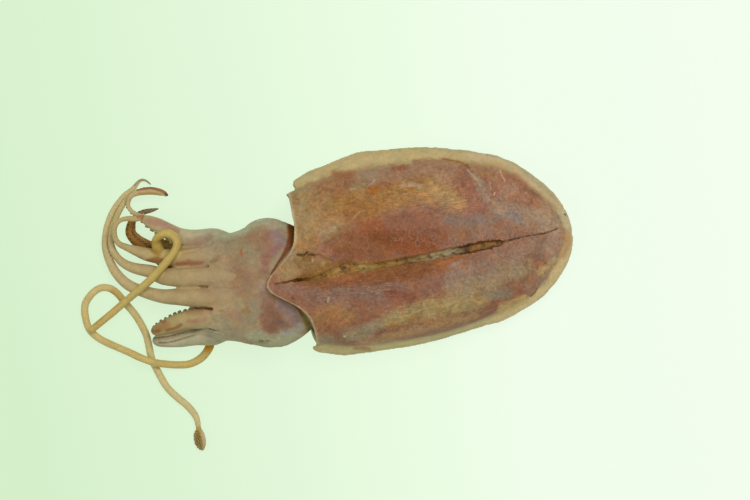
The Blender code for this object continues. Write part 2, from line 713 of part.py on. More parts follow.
def build_fin(name, stations, side):
    """A blade along one side of the mantle. Both faces are split the same way."""
    keys = [i / (len(stations) - 1) for i in range(len(stations))]
    verts = []
    for i in range(FIN_STEPS + 1):
        root, edge, normal = fin_lines(between(keys, stations, i / FIN_STEPS), side)
        for place, half in (
            (root, FIN_ROOT_HALF),
            ((root + edge) / 2 + normal * FIN_ARCH, (FIN_ROOT_HALF + FIN_EDGE_HALF) / 2),
            (edge, FIN_EDGE_HALF),
        ):
            verts.append(place + normal * half)
            verts.append(place - normal * half)
    faces = []
    for i in range(FIN_STEPS):
        a, b = 6 * i, 6 * (i + 1)
        for column in (0, 2):
            for layer in (0, 1):
                p, q = a + column + layer, a + column + 2 + layer
                r, w = b + column + 2 + layer, b + column + layer
                pair = [(p, q, r), (p, r, w)]
                faces += pair if layer else [f[::-1] for f in pair]
        faces.append((a, a + 1, b + 1, b))
        faces.append((a + 5, a + 4, b + 4, b + 5))
    end = 6 * FIN_STEPS
    faces += [(1, 0, 2, 3), (3, 2, 4, 5)]
    faces += [(end, end + 1, end + 3, end + 2), (end + 2, end + 3, end + 5, end + 4)]
    add_object(name, verts, facing_out(verts, faces), "fin")


def head_point(x, angle):
    keys = [-row[0] for row in HEAD_STATIONS]
    _, low, high, bottom, top = between(keys, HEAD_STATIONS, -x)
    across = rounded(math.cos(angle), HEAD_SQUARE)
    along = rounded(math.sin(angle), HEAD_SQUARE)
    y = (low + high) / 2 + across * (high - low) / 2
    z = (bottom + top) / 2 + along * (top - bottom) / 2
    if along > 0:
        for swell_x, swell_y, reach, height in EYE_SWELLINGS:
            distance = math.hypot(x - swell_x, y - swell_y) / reach
            z += height * math.exp(-(distance**2))
    return on_floor((x, y, z))


def head_or_neck_point(x, angle):
    """Past the head's last station the head runs into the neck's end."""
    back = HEAD_STATIONS[0][0]
    point = head_point(min(x, back), angle)
    if x > back:
        neck = neck_point(angle, POCKET_END - GAP, 0.0)
        point = point.lerp(neck, (x - back) / NECK_REACH)
    return point


def loft(point_at, stations, columns):
    """A closed skin through rings of points, with flat ends."""
    verts = [
        point_at(x, 2 * math.pi * k / columns) for x in stations for k in range(columns)
    ]
    faces = []
    for i in range(len(stations) - 1):
        for k in range(columns):
            a = i * columns + k
            b = i * columns + (k + 1) % columns
            faces.append((a, b, b + columns, a + columns))
    faces.append(tuple(range(columns))[::-1])
    last = (len(stations) - 1) * columns
    faces.append(tuple(range(last, last + columns)))
    return verts, facing_out(verts, faces)


def build_head():
    back, front = HEAD_STATIONS[0][0] + NECK_REACH, HEAD_STATIONS[-1][0]
    stations = [
        back + (front - back) * i / (HEAD_ROWS - 1) for i in range(HEAD_ROWS)
    ]
    verts, faces = loft(head_or_neck_point, stations, HEAD_COLUMNS)
    head = add_object("head", verts, faces, "head")
    lids = bpy.data.collections.new("lids")
    for place in (EYE_RIGHT, EYE_LEFT):
        add_lid(place, lids)
    merge(head, lids)
    for place in (EYE_RIGHT, EYE_LEFT):
        carve_socket(head, place)


def eye_matrix(place):
    """The eye's own frame: Y looks out, X runs along the head, and Z is up."""
    x, y, z, heading, tilt = place
    turn = Matrix.Rotation(math.radians(heading - 90), 4, "Z")
    lift = Matrix.Rotation(math.radians(tilt), 4, "X")
    return Matrix.Translation((x * MM, y * MM, z * MM)) @ turn @ lift


def eye_mesh(name, place, grow, colour, grid):
    """An eye as a squashed ball, larger by grow on every side."""
    columns, rows = grid
    verts = []
    half = (EYE_HALF_LENGTH + grow, EYE_HALF_DEPTH + grow, EYE_HALF_HEIGHT + grow)
    for i in range(1, rows):
        polar = math.pi * i / rows
        for k in range(columns):
            angle = 2 * math.pi * k / columns
            verts.append(
                (
                    half[0] * math.sin(polar) * math.cos(angle),
                    half[1] * math.cos(polar),
                    half[2] * math.sin(polar) * math.sin(angle),
                )
            )
    verts += [(0, half[1], 0), (0, -half[1], 0)]
    faces = []
    for i in range(rows - 2):
        for k in range(columns):
            a = i * columns + k
            b = i * columns + (k + 1) % columns
            faces.append((a, b, b + columns, a + columns))
    near, far = len(verts) - 2, len(verts) - 1
    last = (rows - 2) * columns
    for k in range(columns):
        after = (k + 1) % columns
        faces.append((near, after, k))
        faces.append((far, last + k, last + after))
    obj = add_object(name, verts, facing_out(verts, faces), colour)
    obj.data.transform(eye_matrix(place))
    return obj


def add_lid(place, collection):
    """A ring of skin around one eye, higher above it than below."""
    columns, sides = LID_COLUMNS, LID_SIDES
    verts = []
    for k in range(columns):
        angle = 2 * math.pi * k / columns
        thick = LID_THICKNESS * (LID_UPPER if math.sin(angle) > 0 else 1.0)
        middle = Vector(
            (
                EYE_HALF_LENGTH * LID_SPREAD * math.cos(angle),
                LID_OUT - LID_CORNERS * math.cos(angle) ** 2,
                EYE_HALF_HEIGHT * LID_SPREAD * math.sin(angle),
            )
        )
        outward = Vector((math.cos(angle), 0, math.sin(angle)))
        for j in range(sides):
            turn = 2 * math.pi * j / sides
            bulge = outward * math.cos(turn) + Vector((0, 1, 0)) * math.sin(turn)
            verts.append(middle + bulge * thick)
    faces = []
    for k in range(columns):
        for j in range(sides):
            a, b = k * sides + j, k * sides + (j + 1) % sides
            c = ((k + 1) % columns) * sides + (j + 1) % sides
            d = ((k + 1) % columns) * sides + j
            faces.append((a, b, c, d))
    obj = add_object("lid", verts, facing_out(verts, faces), "head")
    obj.data.transform(eye_matrix(place))
    bpy.context.scene.collection.objects.unlink(obj)
    collection.objects.link(obj)


def apply_modifiers(obj):
    graph = bpy.context.evaluated_depsgraph_get()
    mesh = bpy.data.meshes.new_from_object(obj.evaluated_get(graph))
    obj.modifiers.clear()
    obj.data = mesh


def keep_largest(obj):
    """Removes every closed surface of the object but the one with the most faces."""
    work = bmesh.new()
    work.from_mesh(obj.data)
    shells = []
    left = set(work.faces)
    while left:
        shell = set()
        edge_of_shell = [left.pop()]
        while edge_of_shell:
            face = edge_of_shell.pop()
            shell.add(face)
            for edge in face.edges:
                fresh = [f for f in edge.link_faces if f in left]
                left.difference_update(fresh)
                edge_of_shell += fresh
        shells.append(shell)
    shells.sort(key=len)
    for shell in shells[:-1]:
        bmesh.ops.delete(work, geom=list(shell), context="FACES")
    work.to_mesh(obj.data)
    work.free()


def merge(obj, collection):
    """Joins every object of the collection to obj by one union, and removes them."""
    bpy.context.scene.collection.children.link(collection)
    union = obj.modifiers.new("union", "BOOLEAN")
    union.operation = "UNION"
    union.operand_type = "COLLECTION"
    union.collection = collection
    apply_modifiers(obj)
    for helper in list(collection.objects):
        bpy.data.objects.remove(helper)
    bpy.data.collections.remove(collection)
    keep_largest(obj)


def carve_socket(head, place):
    cutter = eye_mesh("socket", place, GAP, "head", SOCKET_GRID)
    cutter.hide_render = True
    cutter.display_type = "WIRE"
    cut = head.modifiers.new("socket", "BOOLEAN")
    cut.operation = "DIFFERENCE"
    cut.object = cutter
    apply_modifiers(head)
    bpy.data.objects.remove(cutter)


def funnel_point(row, angle, shrink=1.0, back=0.0):
    x, y, half, top = row
    across = rounded(math.cos(angle), FUNNEL_SQUARE) * half * shrink
    z = top / 2 + rounded(math.sin(angle), FUNNEL_SQUARE) * (top / 2) * shrink
    return Vector((x + back, y + across, z))


def build_funnel():
    rings = [(row, 1.0, 0.0) for row in FUNNEL_STATIONS]
    rings.append((FUNNEL_STATIONS[-1], FUNNEL_WALL_SHARE, 0.0))
    rings.append((FUNNEL_STATIONS[-1], FUNNEL_WALL_SHARE, FUNNEL_MOUTH_DEPTH))
    verts, faces = loft(
        lambda ring, angle: funnel_point(ring[0], angle, ring[1], ring[2]),
        rings,
        FUNNEL_COLUMNS,
    )
    add_object("funnel", verts, faces, "head")


def ball(name, middle, half, colour, grid):
    """A ball or egg in rings along X."""
    columns, rows = grid
    verts = []
    for i in range(1, rows):
        polar = math.pi * i / rows
        for k in range(columns):
            angle = 2 * math.pi * k / columns
            verts.append(
                (
                    middle[0] - half[0] * math.cos(polar),
                    middle[1] + half[1] * math.sin(polar) * math.cos(angle),
                    middle[2] + half[2] * math.sin(polar) * math.sin(angle),
                )
            )
    faces = []
    for i in range(rows - 2):
        for k in range(columns):
            a = i * columns + k
            b = i * columns + (k + 1) % columns
            faces.append((a, b, b + columns, a + columns))
    faces.append(tuple(range(columns))[::-1])
    last = (rows - 2) * columns
    faces.append(tuple(range(last, last + columns)))
    add_object(name, verts, facing_out(verts, faces), colour)


def main():
    clear_scene()
    build_mantle()
    build_fin("fin_right", FIN_RIGHT_STATIONS, 1)
    build_fin("fin_left", FIN_LEFT_STATIONS, -1)
    build_head()
    eye_mesh("eye_right", EYE_RIGHT, 0.0, "eye", EYE_GRID)
    eye_mesh("eye_left", EYE_LEFT, 0.0, "eye", EYE_GRID)
    build_funnel()
    ball("buccal_mass", *BUCCAL_MASS, "head", BUCCAL_GRID)
    ball("beak", *BEAK, "beak", BEAK_GRID)
    draw = random.Random(SUCKER_SEED)
    build_arms(draw)
    build_tentacles(draw)


main()
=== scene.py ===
"""The looks of a preserved cuttlefish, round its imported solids.

Shapes are worked out in millimetres in the solids' frame and then scaled by MM to metres. The head
points to -X, the tail to +X, the back to +Z, and the animal's right side to +Y.

The skin is one surface. Closed meshes of its parts are joined and remeshed, then smoothed, grooved and
wrinkled, and painted point by point with strokes laid out in the photograph's pixels.
"""

import itertools
import math

import bpy
import numpy as np
from mathutils import Matrix, Vector
from mathutils.bvhtree import BVHTree


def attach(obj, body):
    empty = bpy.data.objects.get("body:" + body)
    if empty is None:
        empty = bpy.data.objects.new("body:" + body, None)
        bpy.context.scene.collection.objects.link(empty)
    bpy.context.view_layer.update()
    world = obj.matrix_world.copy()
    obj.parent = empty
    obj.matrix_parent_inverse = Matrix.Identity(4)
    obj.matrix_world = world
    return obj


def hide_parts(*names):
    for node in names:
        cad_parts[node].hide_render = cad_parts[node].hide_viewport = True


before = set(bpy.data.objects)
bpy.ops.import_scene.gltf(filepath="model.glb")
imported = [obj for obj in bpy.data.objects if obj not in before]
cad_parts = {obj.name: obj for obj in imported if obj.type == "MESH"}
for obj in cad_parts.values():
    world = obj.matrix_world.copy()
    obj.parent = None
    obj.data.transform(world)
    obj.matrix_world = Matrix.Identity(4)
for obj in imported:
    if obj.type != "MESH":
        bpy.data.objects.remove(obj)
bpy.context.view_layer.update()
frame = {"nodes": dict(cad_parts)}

MM = 0.001
PIXEL = 0.1713  # millimetres for a pixel of the photograph
PIXEL_ORIGIN = (325.9, 300.4)  # the photograph's pixel over the frame's origin

# Mantle, in its own frame: S runs along the back from the front lobe's tip to the tail,
# and T runs across it, towards the animal's right.
MANTLE_LENGTH = 52.0
MANTLE_TILT = 10.9
MANTLE_FRONT = (-10.1, 2.4)  # the front lobe's tip in X and Y
LOBE_REACH = 6.6  # how far the front lobe stands past the collar's sides
LOBE_WIDTH = 4.2
BELLY_NOTCH = 1.6  # how far the collar is set back under the throat
COLLAR_WALL = 1.1
POCKET_END = 13.2  # S where the hollow for the neck ends
POCKET_INSET = 1.0  # how far inside the neck's sides it ends
# The neck's end, deep in that hollow: its sides in T, its bottom and its top
NECK = (-6.8, 5.4, 3.2, 9.2)
MANTLE_SQUARE = 2.25  # 2 is an ellipse, and more is boxier

# S, half width on the left, half width on the right, top, bottom, height of the widest line
MANTLE_STATIONS = (
    (0.0, 11.0, 14.6, 11.7, 0.0, 5.6),
    (6.5, 11.3, 15.0, 12.4, -0.2, 5.8),
    (12.5, 12.9, 16.3, 13.2, -0.3, 6.0),
    (20.0, 13.5, 16.6, 13.6, -0.3, 6.1),
    (27.0, 13.6, 16.6, 13.4, -0.3, 6.1),
    (34.0, 12.7, 15.4, 12.6, -0.3, 5.9),
    (40.0, 11.4, 13.4, 11.2, -0.2, 5.6),
    (44.5, 9.7, 11.2, 9.8, 0.4, 5.3),
    (47.8, 7.2, 8.3, 8.5, 1.5, 5.0),
    (50.2, 4.2, 5.0, 7.1, 2.8, 4.9),
    (51.5, 2.0, 2.4, 6.0, 3.8, 4.8),
    (52.0, 0.5, 0.6, 5.1, 4.4, 4.75),
)

# Fins: S at the root, S at the edge, T at the edge, height of the edge
FIN_RIGHT_STATIONS = (
    (8.3, 7.7, 16.7, 4.6),
    (12.5, 12.5, 18.4, 4.3),
    (20.0, 20.2, 19.5, 4.0),
    (27.0, 26.8, 18.9, 4.2),
    (33.5, 33.6, 17.6, 4.4),
    (39.0, 39.2, 16.0, 4.3),
    (43.6, 44.8, 13.4, 4.2),
    (47.0, 48.4, 9.9, 4.3),
    (49.4, 50.9, 7.0, 4.4),
    (50.9, 52.4, 3.9, 4.5),
    (51.7, 52.8, 1.1, 4.6),
)
FIN_LEFT_STATIONS = (
    (7.4, 5.6, 12.3, 3.6),
    (9.6, 8.3, 13.4, 3.3),
    (13.0, 12.4, 14.3, 3.1),
    (20.0, 20.2, 14.7, 3.0),
    (27.0, 27.0, 14.6, 3.1),
    (34.0, 34.6, 13.8, 3.4),
    (39.0, 39.4, 13.3, 3.8),
    (43.0, 43.6, 11.7, 4.0),
    (46.2, 47.0, 10.0, 4.1),
    (48.9, 50.0, 7.3, 4.2),
    (50.6, 52.1, 4.3, 4.4),
    (51.6, 53.0, 1.5, 4.6),
)
FIN_ROOT_HALF = 0.4
FIN_ARCH = 0.3
FIN_SUNK = 1.2  # how far a fin reaches into the mantle
FIN_SKIN_SUNK = 0.3  # the share of that for its upper skin
FIN_SKIN_UNDER = 0.25  # how far under the mantle's surface that skin starts
FIN_BEND_RISE = 0.9  # how far over the mantle's widest line it bends outwards

# Head: X, low Y, high Y, bottom, top
HEAD_STATIONS = (
    (-1.2, -3.6, 10.0, 3.0, 9.5),
    (-3.2, -5.6, 11.3, 3.0, 9.7),
    (-5.8, -7.3, 12.9, 2.9, 10.0),
    (-8.0, -7.9, 13.6, 2.5, 10.1),
    (-10.0, -7.95, 14.0, 1.7, 10.1),
    (-12.0, -7.7, 13.5, 0.7, 10.0),
    (-14.5, -7.2, 12.2, -0.1, 9.8),
    (-16.6, -6.95, 11.5, -0.2, 9.55),
    (-18.4, -6.9, 11.4, -0.1, 9.3),
)
NECK_REACH = 4.0  # from the first of these back to the neck's end
NECK_SUNK = 0.8  # how far the neck's end lies behind the hollow's end
# Skin in front of the head, down between the arms' roots: the same columns
BROW_STATIONS = (
    (-19.3, -6.75, 11.25, 0.3, 8.95),
    (-20.2, -6.5, 11.05, 0.9, 8.1),
    (-21.2, -6.2, 10.8, 1.7, 6.9),
    (-22.2, -5.8, 10.3, 2.6, 5.6),
)
HEAD_SQUARE = 2.5
# The swelling over each eyeball: its middle in X and Y, its reach and its height
EYE_SWELLINGS = ((-9.9, 10.4, 3.6, 0.35), (-9.0, -3.8, 3.6, 0.35))

EYE_HALF_LENGTH = 2.3
EYE_HALF_HEIGHT = 1.55
EYE_HALF_DEPTH = 1.5
# X, Y and Z of each eye's middle, the way it looks in the floor plan, and its tilt upwards
EYE_RIGHT = (-10.4, 12.4, 5.6, 96.0, 14.0)
EYE_LEFT = (-10.0, -6.35, 5.6, -96.0, 14.0)
LID_THICKNESS = 0.42
LID_UPPER = 1.25  # the upper lid's thickness, in lid thicknesses
LID_SPREAD = 1.24  # the lid's ring, in eye sizes
LID_OUT = 0.9  # how far the ring stands out from the eye's middle
LID_CORNERS = 0.55  # how far its two corners lie back from that
# Funnel: X, Y, half width, top
FUNNEL_STATIONS = (
    (-3.1, 3.7, 3.4, 2.4),
    (-5.0, 3.6, 3.5, 2.35),
    (-7.2, 3.4, 3.0, 2.0),
    (-9.0, 3.2, 2.4, 1.5),
    (-10.5, 3.1, 1.9, 0.95),
)
FUNNEL_MOUTH_DEPTH = 1.4
FUNNEL_WALL_SHARE = 0.55
FUNNEL_SQUARE = 2.4

# Mouth, in the middle of the arms: middle, and half sizes
BUCCAL_MASS = ((-19.9, 2.2, 4.65), (1.1, 1.9, 0.95))
BEAK = ((-21.75, 2.2, 4.6), (0.45, 0.5, 0.45))

# Arms and tentacles: X, Y, Z, width and height of each place on the route, from the root out.
ARM_1_RIGHT = (
    (-19.0, 4.05, 7.6, 3.2, 3.4),
    (-23.3, 4.0, 6.6, 3.0, 3.1),
    (-25.7, 4.0, 5.5, 2.8, 2.8),
    (-28.0, 4.15, 4.3, 2.5, 2.4),
    (-30.2, 4.95, 3.4, 2.0, 2.0),
    (-33.2, 5.6, 2.8, 1.6, 1.6),
    (-35.3, 6.75, 2.4, 1.3, 1.3),
    (-36.6, 8.5, 2.3, 1.1, 1.1),
    (-37.0, 10.3, 2.25, 1.0, 1.0),
    (-36.7, 12.4, 2.2, 0.95, 0.95),
    (-35.8, 14.8, 2.15, 0.9, 0.9),
    (-34.6, 16.9, 2.1, 0.8, 0.8),
    (-33.6, 18.05, 2.05, 0.6, 0.6),
    (-32.9, 18.65, 2.0, 0.3, 0.3),
)
ARM_1_LEFT = (
    (-19.0, 0.55, 7.6, 3.1, 3.4),
    (-23.3, 0.55, 6.5, 2.7, 2.9),
    (-25.7, 0.6, 5.3, 2.4, 2.5),
    (-28.0, 0.7, 4.2, 2.1, 2.1),
    (-31.2, 1.45, 2.9, 1.8, 1.8),
    (-34.1, 2.7, 2.1, 1.65, 1.65),
    (-36.2, 4.8, 1.6, 1.5, 1.5),
    (-37.4, 7.1, 1.35, 1.3, 1.3),
    (-38.0, 9.15, 1.2, 1.15, 1.15),
    (-38.0, 11.0, 1.1, 1.05, 1.05),
    (-37.65, 12.9, 1.05, 1.0, 1.0),
    (-36.8, 15.15, 1.0, 0.95, 0.95),
    (-35.6, 17.0, 1.0, 0.9, 0.9),
    (-34.4, 18.3, 1.0, 0.85, 0.85),
    (-33.3, 19.1, 1.0, 0.8, 0.8),
    (-32.6, 19.95, 0.95, 0.65, 0.65),
    (-32.0, 20.6, 0.9, 0.5, 0.5),
    (-31.3, 20.65, 0.85, 0.42, 0.42),
    (-30.65, 20.3, 0.8, 0.36, 0.36),
    (-30.1, 19.8, 0.75, 0.2, 0.2),
)
ARM_2_RIGHT = (
    (-19.0, 7.35, 6.4, 3.0, 3.6),
    (-23.3, 7.3, 5.6, 2.9, 3.1),
    (-25.8, 7.35, 4.6, 2.8, 2.8),
    (-28.4, 7.5, 3.9, 2.5, 2.4),
    (-30.5, 7.8, 3.7, 2.2, 2.1),
    (-32.5, 8.45, 3.7, 1.7, 1.7),
    (-34.3, 9.1, 3.8, 1.2, 1.2),
    (-35.7, 9.85, 4.0, 1.0, 1.0),
    (-36.3, 11.2, 4.2, 0.9, 0.9),
    (-36.2, 12.65, 4.4, 0.85, 0.85),
    (-35.5, 13.6, 4.6, 0.8, 0.8),
    (-34.4, 14.0, 4.8, 0.85, 0.85),
    (-33.1, 14.0, 4.9, 1.0, 1.0),
    (-32.0, 14.1, 4.9, 0.95, 0.95),
    (-31.4, 14.5, 4.85, 0.5, 0.5),
    (-31.3, 15.0, 4.8, 0.25, 0.25),
)
ARM_2_LEFT = (
    (-19.0, -3.0, 6.3, 3.6, 3.6),
    (-22.9, -3.0, 5.6, 3.8, 3.4),
    (-25.5, -3.65, 4.7, 3.6, 3.1),
    (-27.6, -4.4, 3.95, 3.0, 2.6),
    (-28.8, -4.95, 3.3, 2.3, 2.1),
    (-29.3, -5.2, 2.35, 1.6, 1.6),
    (-29.0, -4.9, 1.5, 1.2, 1.2),
    (-28.2, -4.3, 1.05, 0.9, 0.9),
    (-27.0, -3.7, 0.8, 0.5, 0.5),
    (-25.9, -3.3, 0.7, 0.25, 0.25),
)
ARM_3_RIGHT = (
    (-19.0, 10.1, 4.3, 2.6, 3.8),
    (-22.4, 10.15, 4.4, 2.7, 3.5),
    (-25.0, 10.7, 4.4, 2.7, 3.1),
    (-27.0, 11.7, 4.25, 2.6, 2.8),
    (-28.9, 12.8, 4.0, 2.4, 2.5),
    (-30.5, 13.6, 3.6, 1.9, 1.9),
    (-31.5, 14.1, 3.4, 1.2, 1.2),
    (-32.4, 14.7, 3.3, 0.8, 0.8),
    (-33.4, 15.3, 3.25, 0.75, 0.75),
    (-34.0, 16.2, 3.2, 0.75, 0.75),
    (-33.9, 17.1, 3.2, 0.75, 0.75),
    (-33.5, 17.9, 3.2, 0.8, 0.8),
    (-32.6, 18.4, 3.1, 1.0, 1.0),
    (-31.5, 18.7, 2.9, 1.25, 1.2),
    (-30.1, 18.8, 2.7, 1.35, 1.25),
    (-28.9, 18.65, 2.5, 1.25, 1.15),
    (-27.8, 18.35, 2.3, 0.9, 0.85),
    (-27.1, 17.95, 2.15, 0.25, 0.25),
)
ARM_3_LEFT = (
    (-19.0, -5.7, 3.7, 2.6, 3.2),
    (-22.4, -6.15, 3.45, 2.3, 2.7),
    (-25.0, -6.75, 3.15, 2.0, 2.2),
    (-27.2, -7.05, 2.9, 1.6, 1.9),
    (-28.6, -7.1, 2.4, 1.4, 1.5),
    (-29.25, -6.95, 1.6, 1.1, 1.1),
    (-29.2, -6.5, 0.85, 0.8, 0.8),
    (-28.6, -6.0, 0.55, 0.55, 0.55),
    (-27.6, -5.6, 0.45, 0.25, 0.25),
)
ARM_4_RIGHT = (
    (-19.0, 4.8, 1.7, 4.2, 3.0),
    (-23.3, 5.2, 1.5, 3.8, 2.6),
    (-26.4, 6.2, 1.25, 3.3, 2.1),
    (-28.8, 7.8, 1.1, 2.9, 1.8),
    (-30.8, 9.05, 1.05, 2.4, 1.7),
    (-32.5, 10.2, 1.0, 2.0, 1.5),
    (-33.6, 11.45, 1.0, 1.7, 1.3),
    (-33.6, 12.75, 1.0, 1.5, 1.1),
    (-33.2, 13.85, 1.0, 1.1, 0.9),
    (-32.3, 14.75, 1.0, 0.9, 0.8),
    (-31.1, 15.25, 1.0, 0.85, 0.75),
    (-29.9, 15.5, 1.0, 0.6, 0.55),
    (-28.8, 15.8, 1.0, 0.2, 0.2),
)
ARM_4_LEFT = (
    (-19.0, -0.3, 1.7, 4.2, 3.0),
    (-20.2, -0.45, 1.65, 4.1, 2.9),
    (-22.4, -2.6, 1.4, 3.7, 2.3),
    (-24.7, -5.0, 0.95, 2.9, 1.5),
    (-26.4, -6.5, 0.8, 2.2, 1.2),
    (-27.7, -7.05, 0.7, 1.4, 0.9),
    (-28.5, -7.1, 0.6, 0.3, 0.3),
)
TENTACLE_RIGHT = (
    (-19.0, 7.7, 3.2, 1.5, 1.5),
    (-21.0, 7.85, 3.0, 1.5, 1.5),
    (-23.3, 8.0, 2.8, 1.5, 1.5),
    (-25.5, 8.65, 2.3, 1.5, 1.5),
    (-27.2, 9.4, 2.4, 1.5, 1.5),
    (-28.5, 9.95, 3.2, 1.5, 1.5),
    (-29.2, 10.0, 4.4, 1.5, 1.5),
    (-29.35, 10.1, 5.6, 1.55, 1.55),
    (-28.8, 10.9, 6.5, 1.6, 1.6),
    (-27.4, 11.55, 6.95, 1.65, 1.6),
    (-26.0, 11.05, 7.1, 1.65, 1.6),
    (-25.4, 9.85, 7.1, 1.6, 1.55),
    (-25.8, 8.45, 7.1, 1.6, 1.5),
    (-26.9, 7.0, 7.0, 1.6, 1.5),
    (-28.4, 5.2, 6.7, 1.6, 1.5),
    (-30.1, 3.4, 6.0, 1.55, 1.5),
    (-32.4, 1.45, 4.5, 1.5, 1.45),
    (-34.65, -0.45, 3.1, 1.45, 1.4),
    (-37.3, -2.7, 2.45, 1.4, 1.35),
    (-39.4, -4.4, 2.35, 1.4, 1.35),
    (-40.5, -5.3, 2.3, 1.35, 1.3),
)
TENTACLE_LEFT = (
    (-19.3, -3.8, 0.9, 1.45, 1.45),
    (-19.7, -4.4, 0.85, 1.5, 1.5),
    (-19.95, -5.6, 0.8, 1.6, 1.55),
    (-19.9, -6.8, 0.8, 1.65, 1.6),
    (-20.05, -7.9, 0.75, 1.55, 1.5),
    (-20.9, -9.35, 0.7, 1.45, 1.4),
    (-22.0, -10.3, 0.7, 1.4, 1.4),
    (-23.6, -11.0, 0.7, 1.35, 1.35),
    (-25.7, -11.15, 0.85, 1.3, 1.3),
    (-27.7, -11.0, 1.55, 1.3, 1.3),
    (-29.8, -10.65, 2.35, 1.3, 1.3),
    (-31.8, -9.95, 2.0, 1.3, 1.3),
    (-33.9, -9.0, 1.1, 1.3, 1.3),
    (-36.1, -8.05, 0.7, 1.3, 1.3),
    (-38.2, -7.1, 0.63, 1.3, 1.3),
    (-39.7, -6.15, 0.62, 1.3, 1.3),
    (-40.75, -5.05, 0.62, 1.3, 1.3),
    (-41.4, -3.2, 0.62, 1.3, 1.3),
    (-41.55, -0.95, 0.62, 1.3, 1.3),
    (-40.65, 0.75, 0.62, 1.3, 1.3),
    (-39.1, 2.0, 0.62, 1.3, 1.3),
    (-37.5, 2.1, 0.62, 1.3, 1.3),
    (-36.0, 1.2, 0.62, 1.3, 1.3),
    (-34.65, -0.45, 0.62, 1.3, 1.3),
    (-33.0, -2.35, 0.62, 1.3, 1.3),
    (-31.85, -4.2, 0.62, 1.3, 1.3),
    (-30.95, -6.1, 0.62, 1.3, 1.3),
    (-30.5, -8.05, 0.62, 1.3, 1.3),
    (-30.0, -10.2, 0.62, 1.3, 1.3),
    (-28.9, -12.45, 0.62, 1.3, 1.3),
    (-27.4, -15.0, 0.62, 1.3, 1.3),
    (-25.85, -16.55, 0.62, 1.3, 1.3),
    (-23.6, -18.5, 0.62, 1.3, 1.3),
    (-22.4, -20.15, 0.6, 1.2, 1.25),
    (-22.0, -21.8, 0.58, 1.1, 1.2),
)
CLUB = (
    (-21.97, -22.15, 0.75, 1.1, 1.1),
    (-21.9, -22.9, 0.8, 1.9, 1.35),
    (-21.7, -24.0, 0.8, 2.3, 1.45),
    (-21.5, -25.1, 0.75, 1.8, 1.2),
    (-21.3, -25.9, 0.6, 0.5, 0.5),
)
CLUB_ORAL = 40.0

SOLE = 0.0  # the floor's height
VOXEL = 0.17
TUBE_SIDES = 20
TUBE_STEP = 0.35
FINE_STEP = TUBE_STEP / 2
ROOT_SUNK = 2.4  # how far arms reach back into the head
AIM = 0.2  # how far to both sides of a place its direction is read
ORAL_FLAT = 0.78  # an arm's sucker side is flatter than its back

# Name, route, oral angle at the root and at the tip, share where suckers start, how much wider
# and higher the arm is near its root, where arms press together, and how much all along.
# The oral angle turns the sucker side from straight up.
ARMS = (
    ("arm_1_right", ARM_1_RIGHT, 180.0, 180.0, 0.16, 0.08, 0.14),
    ("arm_1_left", ARM_1_LEFT, 180.0, 180.0, 0.14, 0.06, 0.14),
    ("arm_2_right", ARM_2_RIGHT, -140.0, -180.0, 0.24, 0.14, 0.04),
    ("arm_2_left", ARM_2_LEFT, 84.0, 110.0, 0.2, 0.1, 0.06),
    ("arm_3_right", ARM_3_RIGHT, -86.0, -185.0, 0.26, 0.16, 0.04),
    ("arm_3_left", ARM_3_LEFT, 150.0, 150.0, 0.3, 0.2, 0.24),
    ("arm_4_right", ARM_4_RIGHT, -40.0, 0.0, 0.24, 0.05, 0.12),
    ("arm_4_left", ARM_4_LEFT, 150.0, 150.0, 0.3, 0.1, 0.0),
)
TENTACLES = (
    ("tentacle_right", TENTACLE_RIGHT),
    ("tentacle_left", TENTACLE_LEFT),
)


def turns(count):
    """The angles of so many points round a circle."""
    return [2 * math.pi * k / count for k in range(count)]


def slope(keys, rows, i, column):
    """The rate of change at row i, from the rows on its two sides."""
    before = max(i - 1, 0)
    after = min(i + 1, len(rows) - 1)
    return (rows[after][column] - rows[before][column]) / (keys[after] - keys[before])


def between(keys, rows, at):
    """The row at one key, on a smooth curve through all the rows."""
    i = 0
    while i < len(keys) - 2 and at > keys[i + 1]:
        i += 1
    span = keys[i + 1] - keys[i]
    t = (at - keys[i]) / span
    near = 2 * t**3 - 3 * t**2 + 1
    leave = (t**3 - 2 * t**2 + t) * span
    arrive = (t**3 - t**2) * span
    return [
        near * rows[i][c]
        + (1 - near) * rows[i + 1][c]
        + leave * slope(keys, rows, i, c)
        + arrive * slope(keys, rows, i + 1, c)
        for c in range(len(rows[0]))
    ]


def route_keys(route):
    """The distance of each place from the route's start."""
    keys = [0.0]
    for one, two in zip(route, route[1:]):
        keys.append(keys[-1] + (Vector(two[:3]) - Vector(one[:3])).length)
    return keys


def route_frames(route, start, end, step):
    """Place, direction, up, width, height and distance, from start to end of a route."""
    keys = route_keys(route)
    steps_before = round(start / step)
    up = Vector((0, 0, 1))
    places = [start * k / max(1, steps_before) for k in range(steps_before)]
    count = max(2, round((end - start) / step))
    places += [start + (end - start) * k / count for k in range(count + 1)]
    found = []
    for at in places:
        row = between(keys, route, at)
        behind = between(keys, route, max(0.0, at - AIM))
        ahead = between(keys, route, min(keys[-1], at + AIM))
        forward = (Vector(ahead[:3]) - Vector(behind[:3])).normalized()
        up = (up - forward * up.dot(forward)).normalized()
        found.append((Vector(row[:3]), forward, up, row[3], row[4], at))
    return found[-(count + 1) :]


def section_point(place, oral, angle):
    """A point of an arm's section. Angle 0 is the middle of its back."""
    point, forward, up, width, height, _ = place
    turn = math.radians(oral)
    side = forward.cross(up)
    mouthward = up * math.cos(turn) + side * math.sin(turn)
    across = forward.cross(mouthward)
    depth = -math.cos(angle) * height / 2
    if depth > 0:
        depth *= ORAL_FLAT
    return point + mouthward * depth + across * (math.sin(angle) * width / 2)


def on_floor(point):
    """The same point, or the place on the floor right above it."""
    return Vector((point[0], point[1], max(point[2], SOLE)))


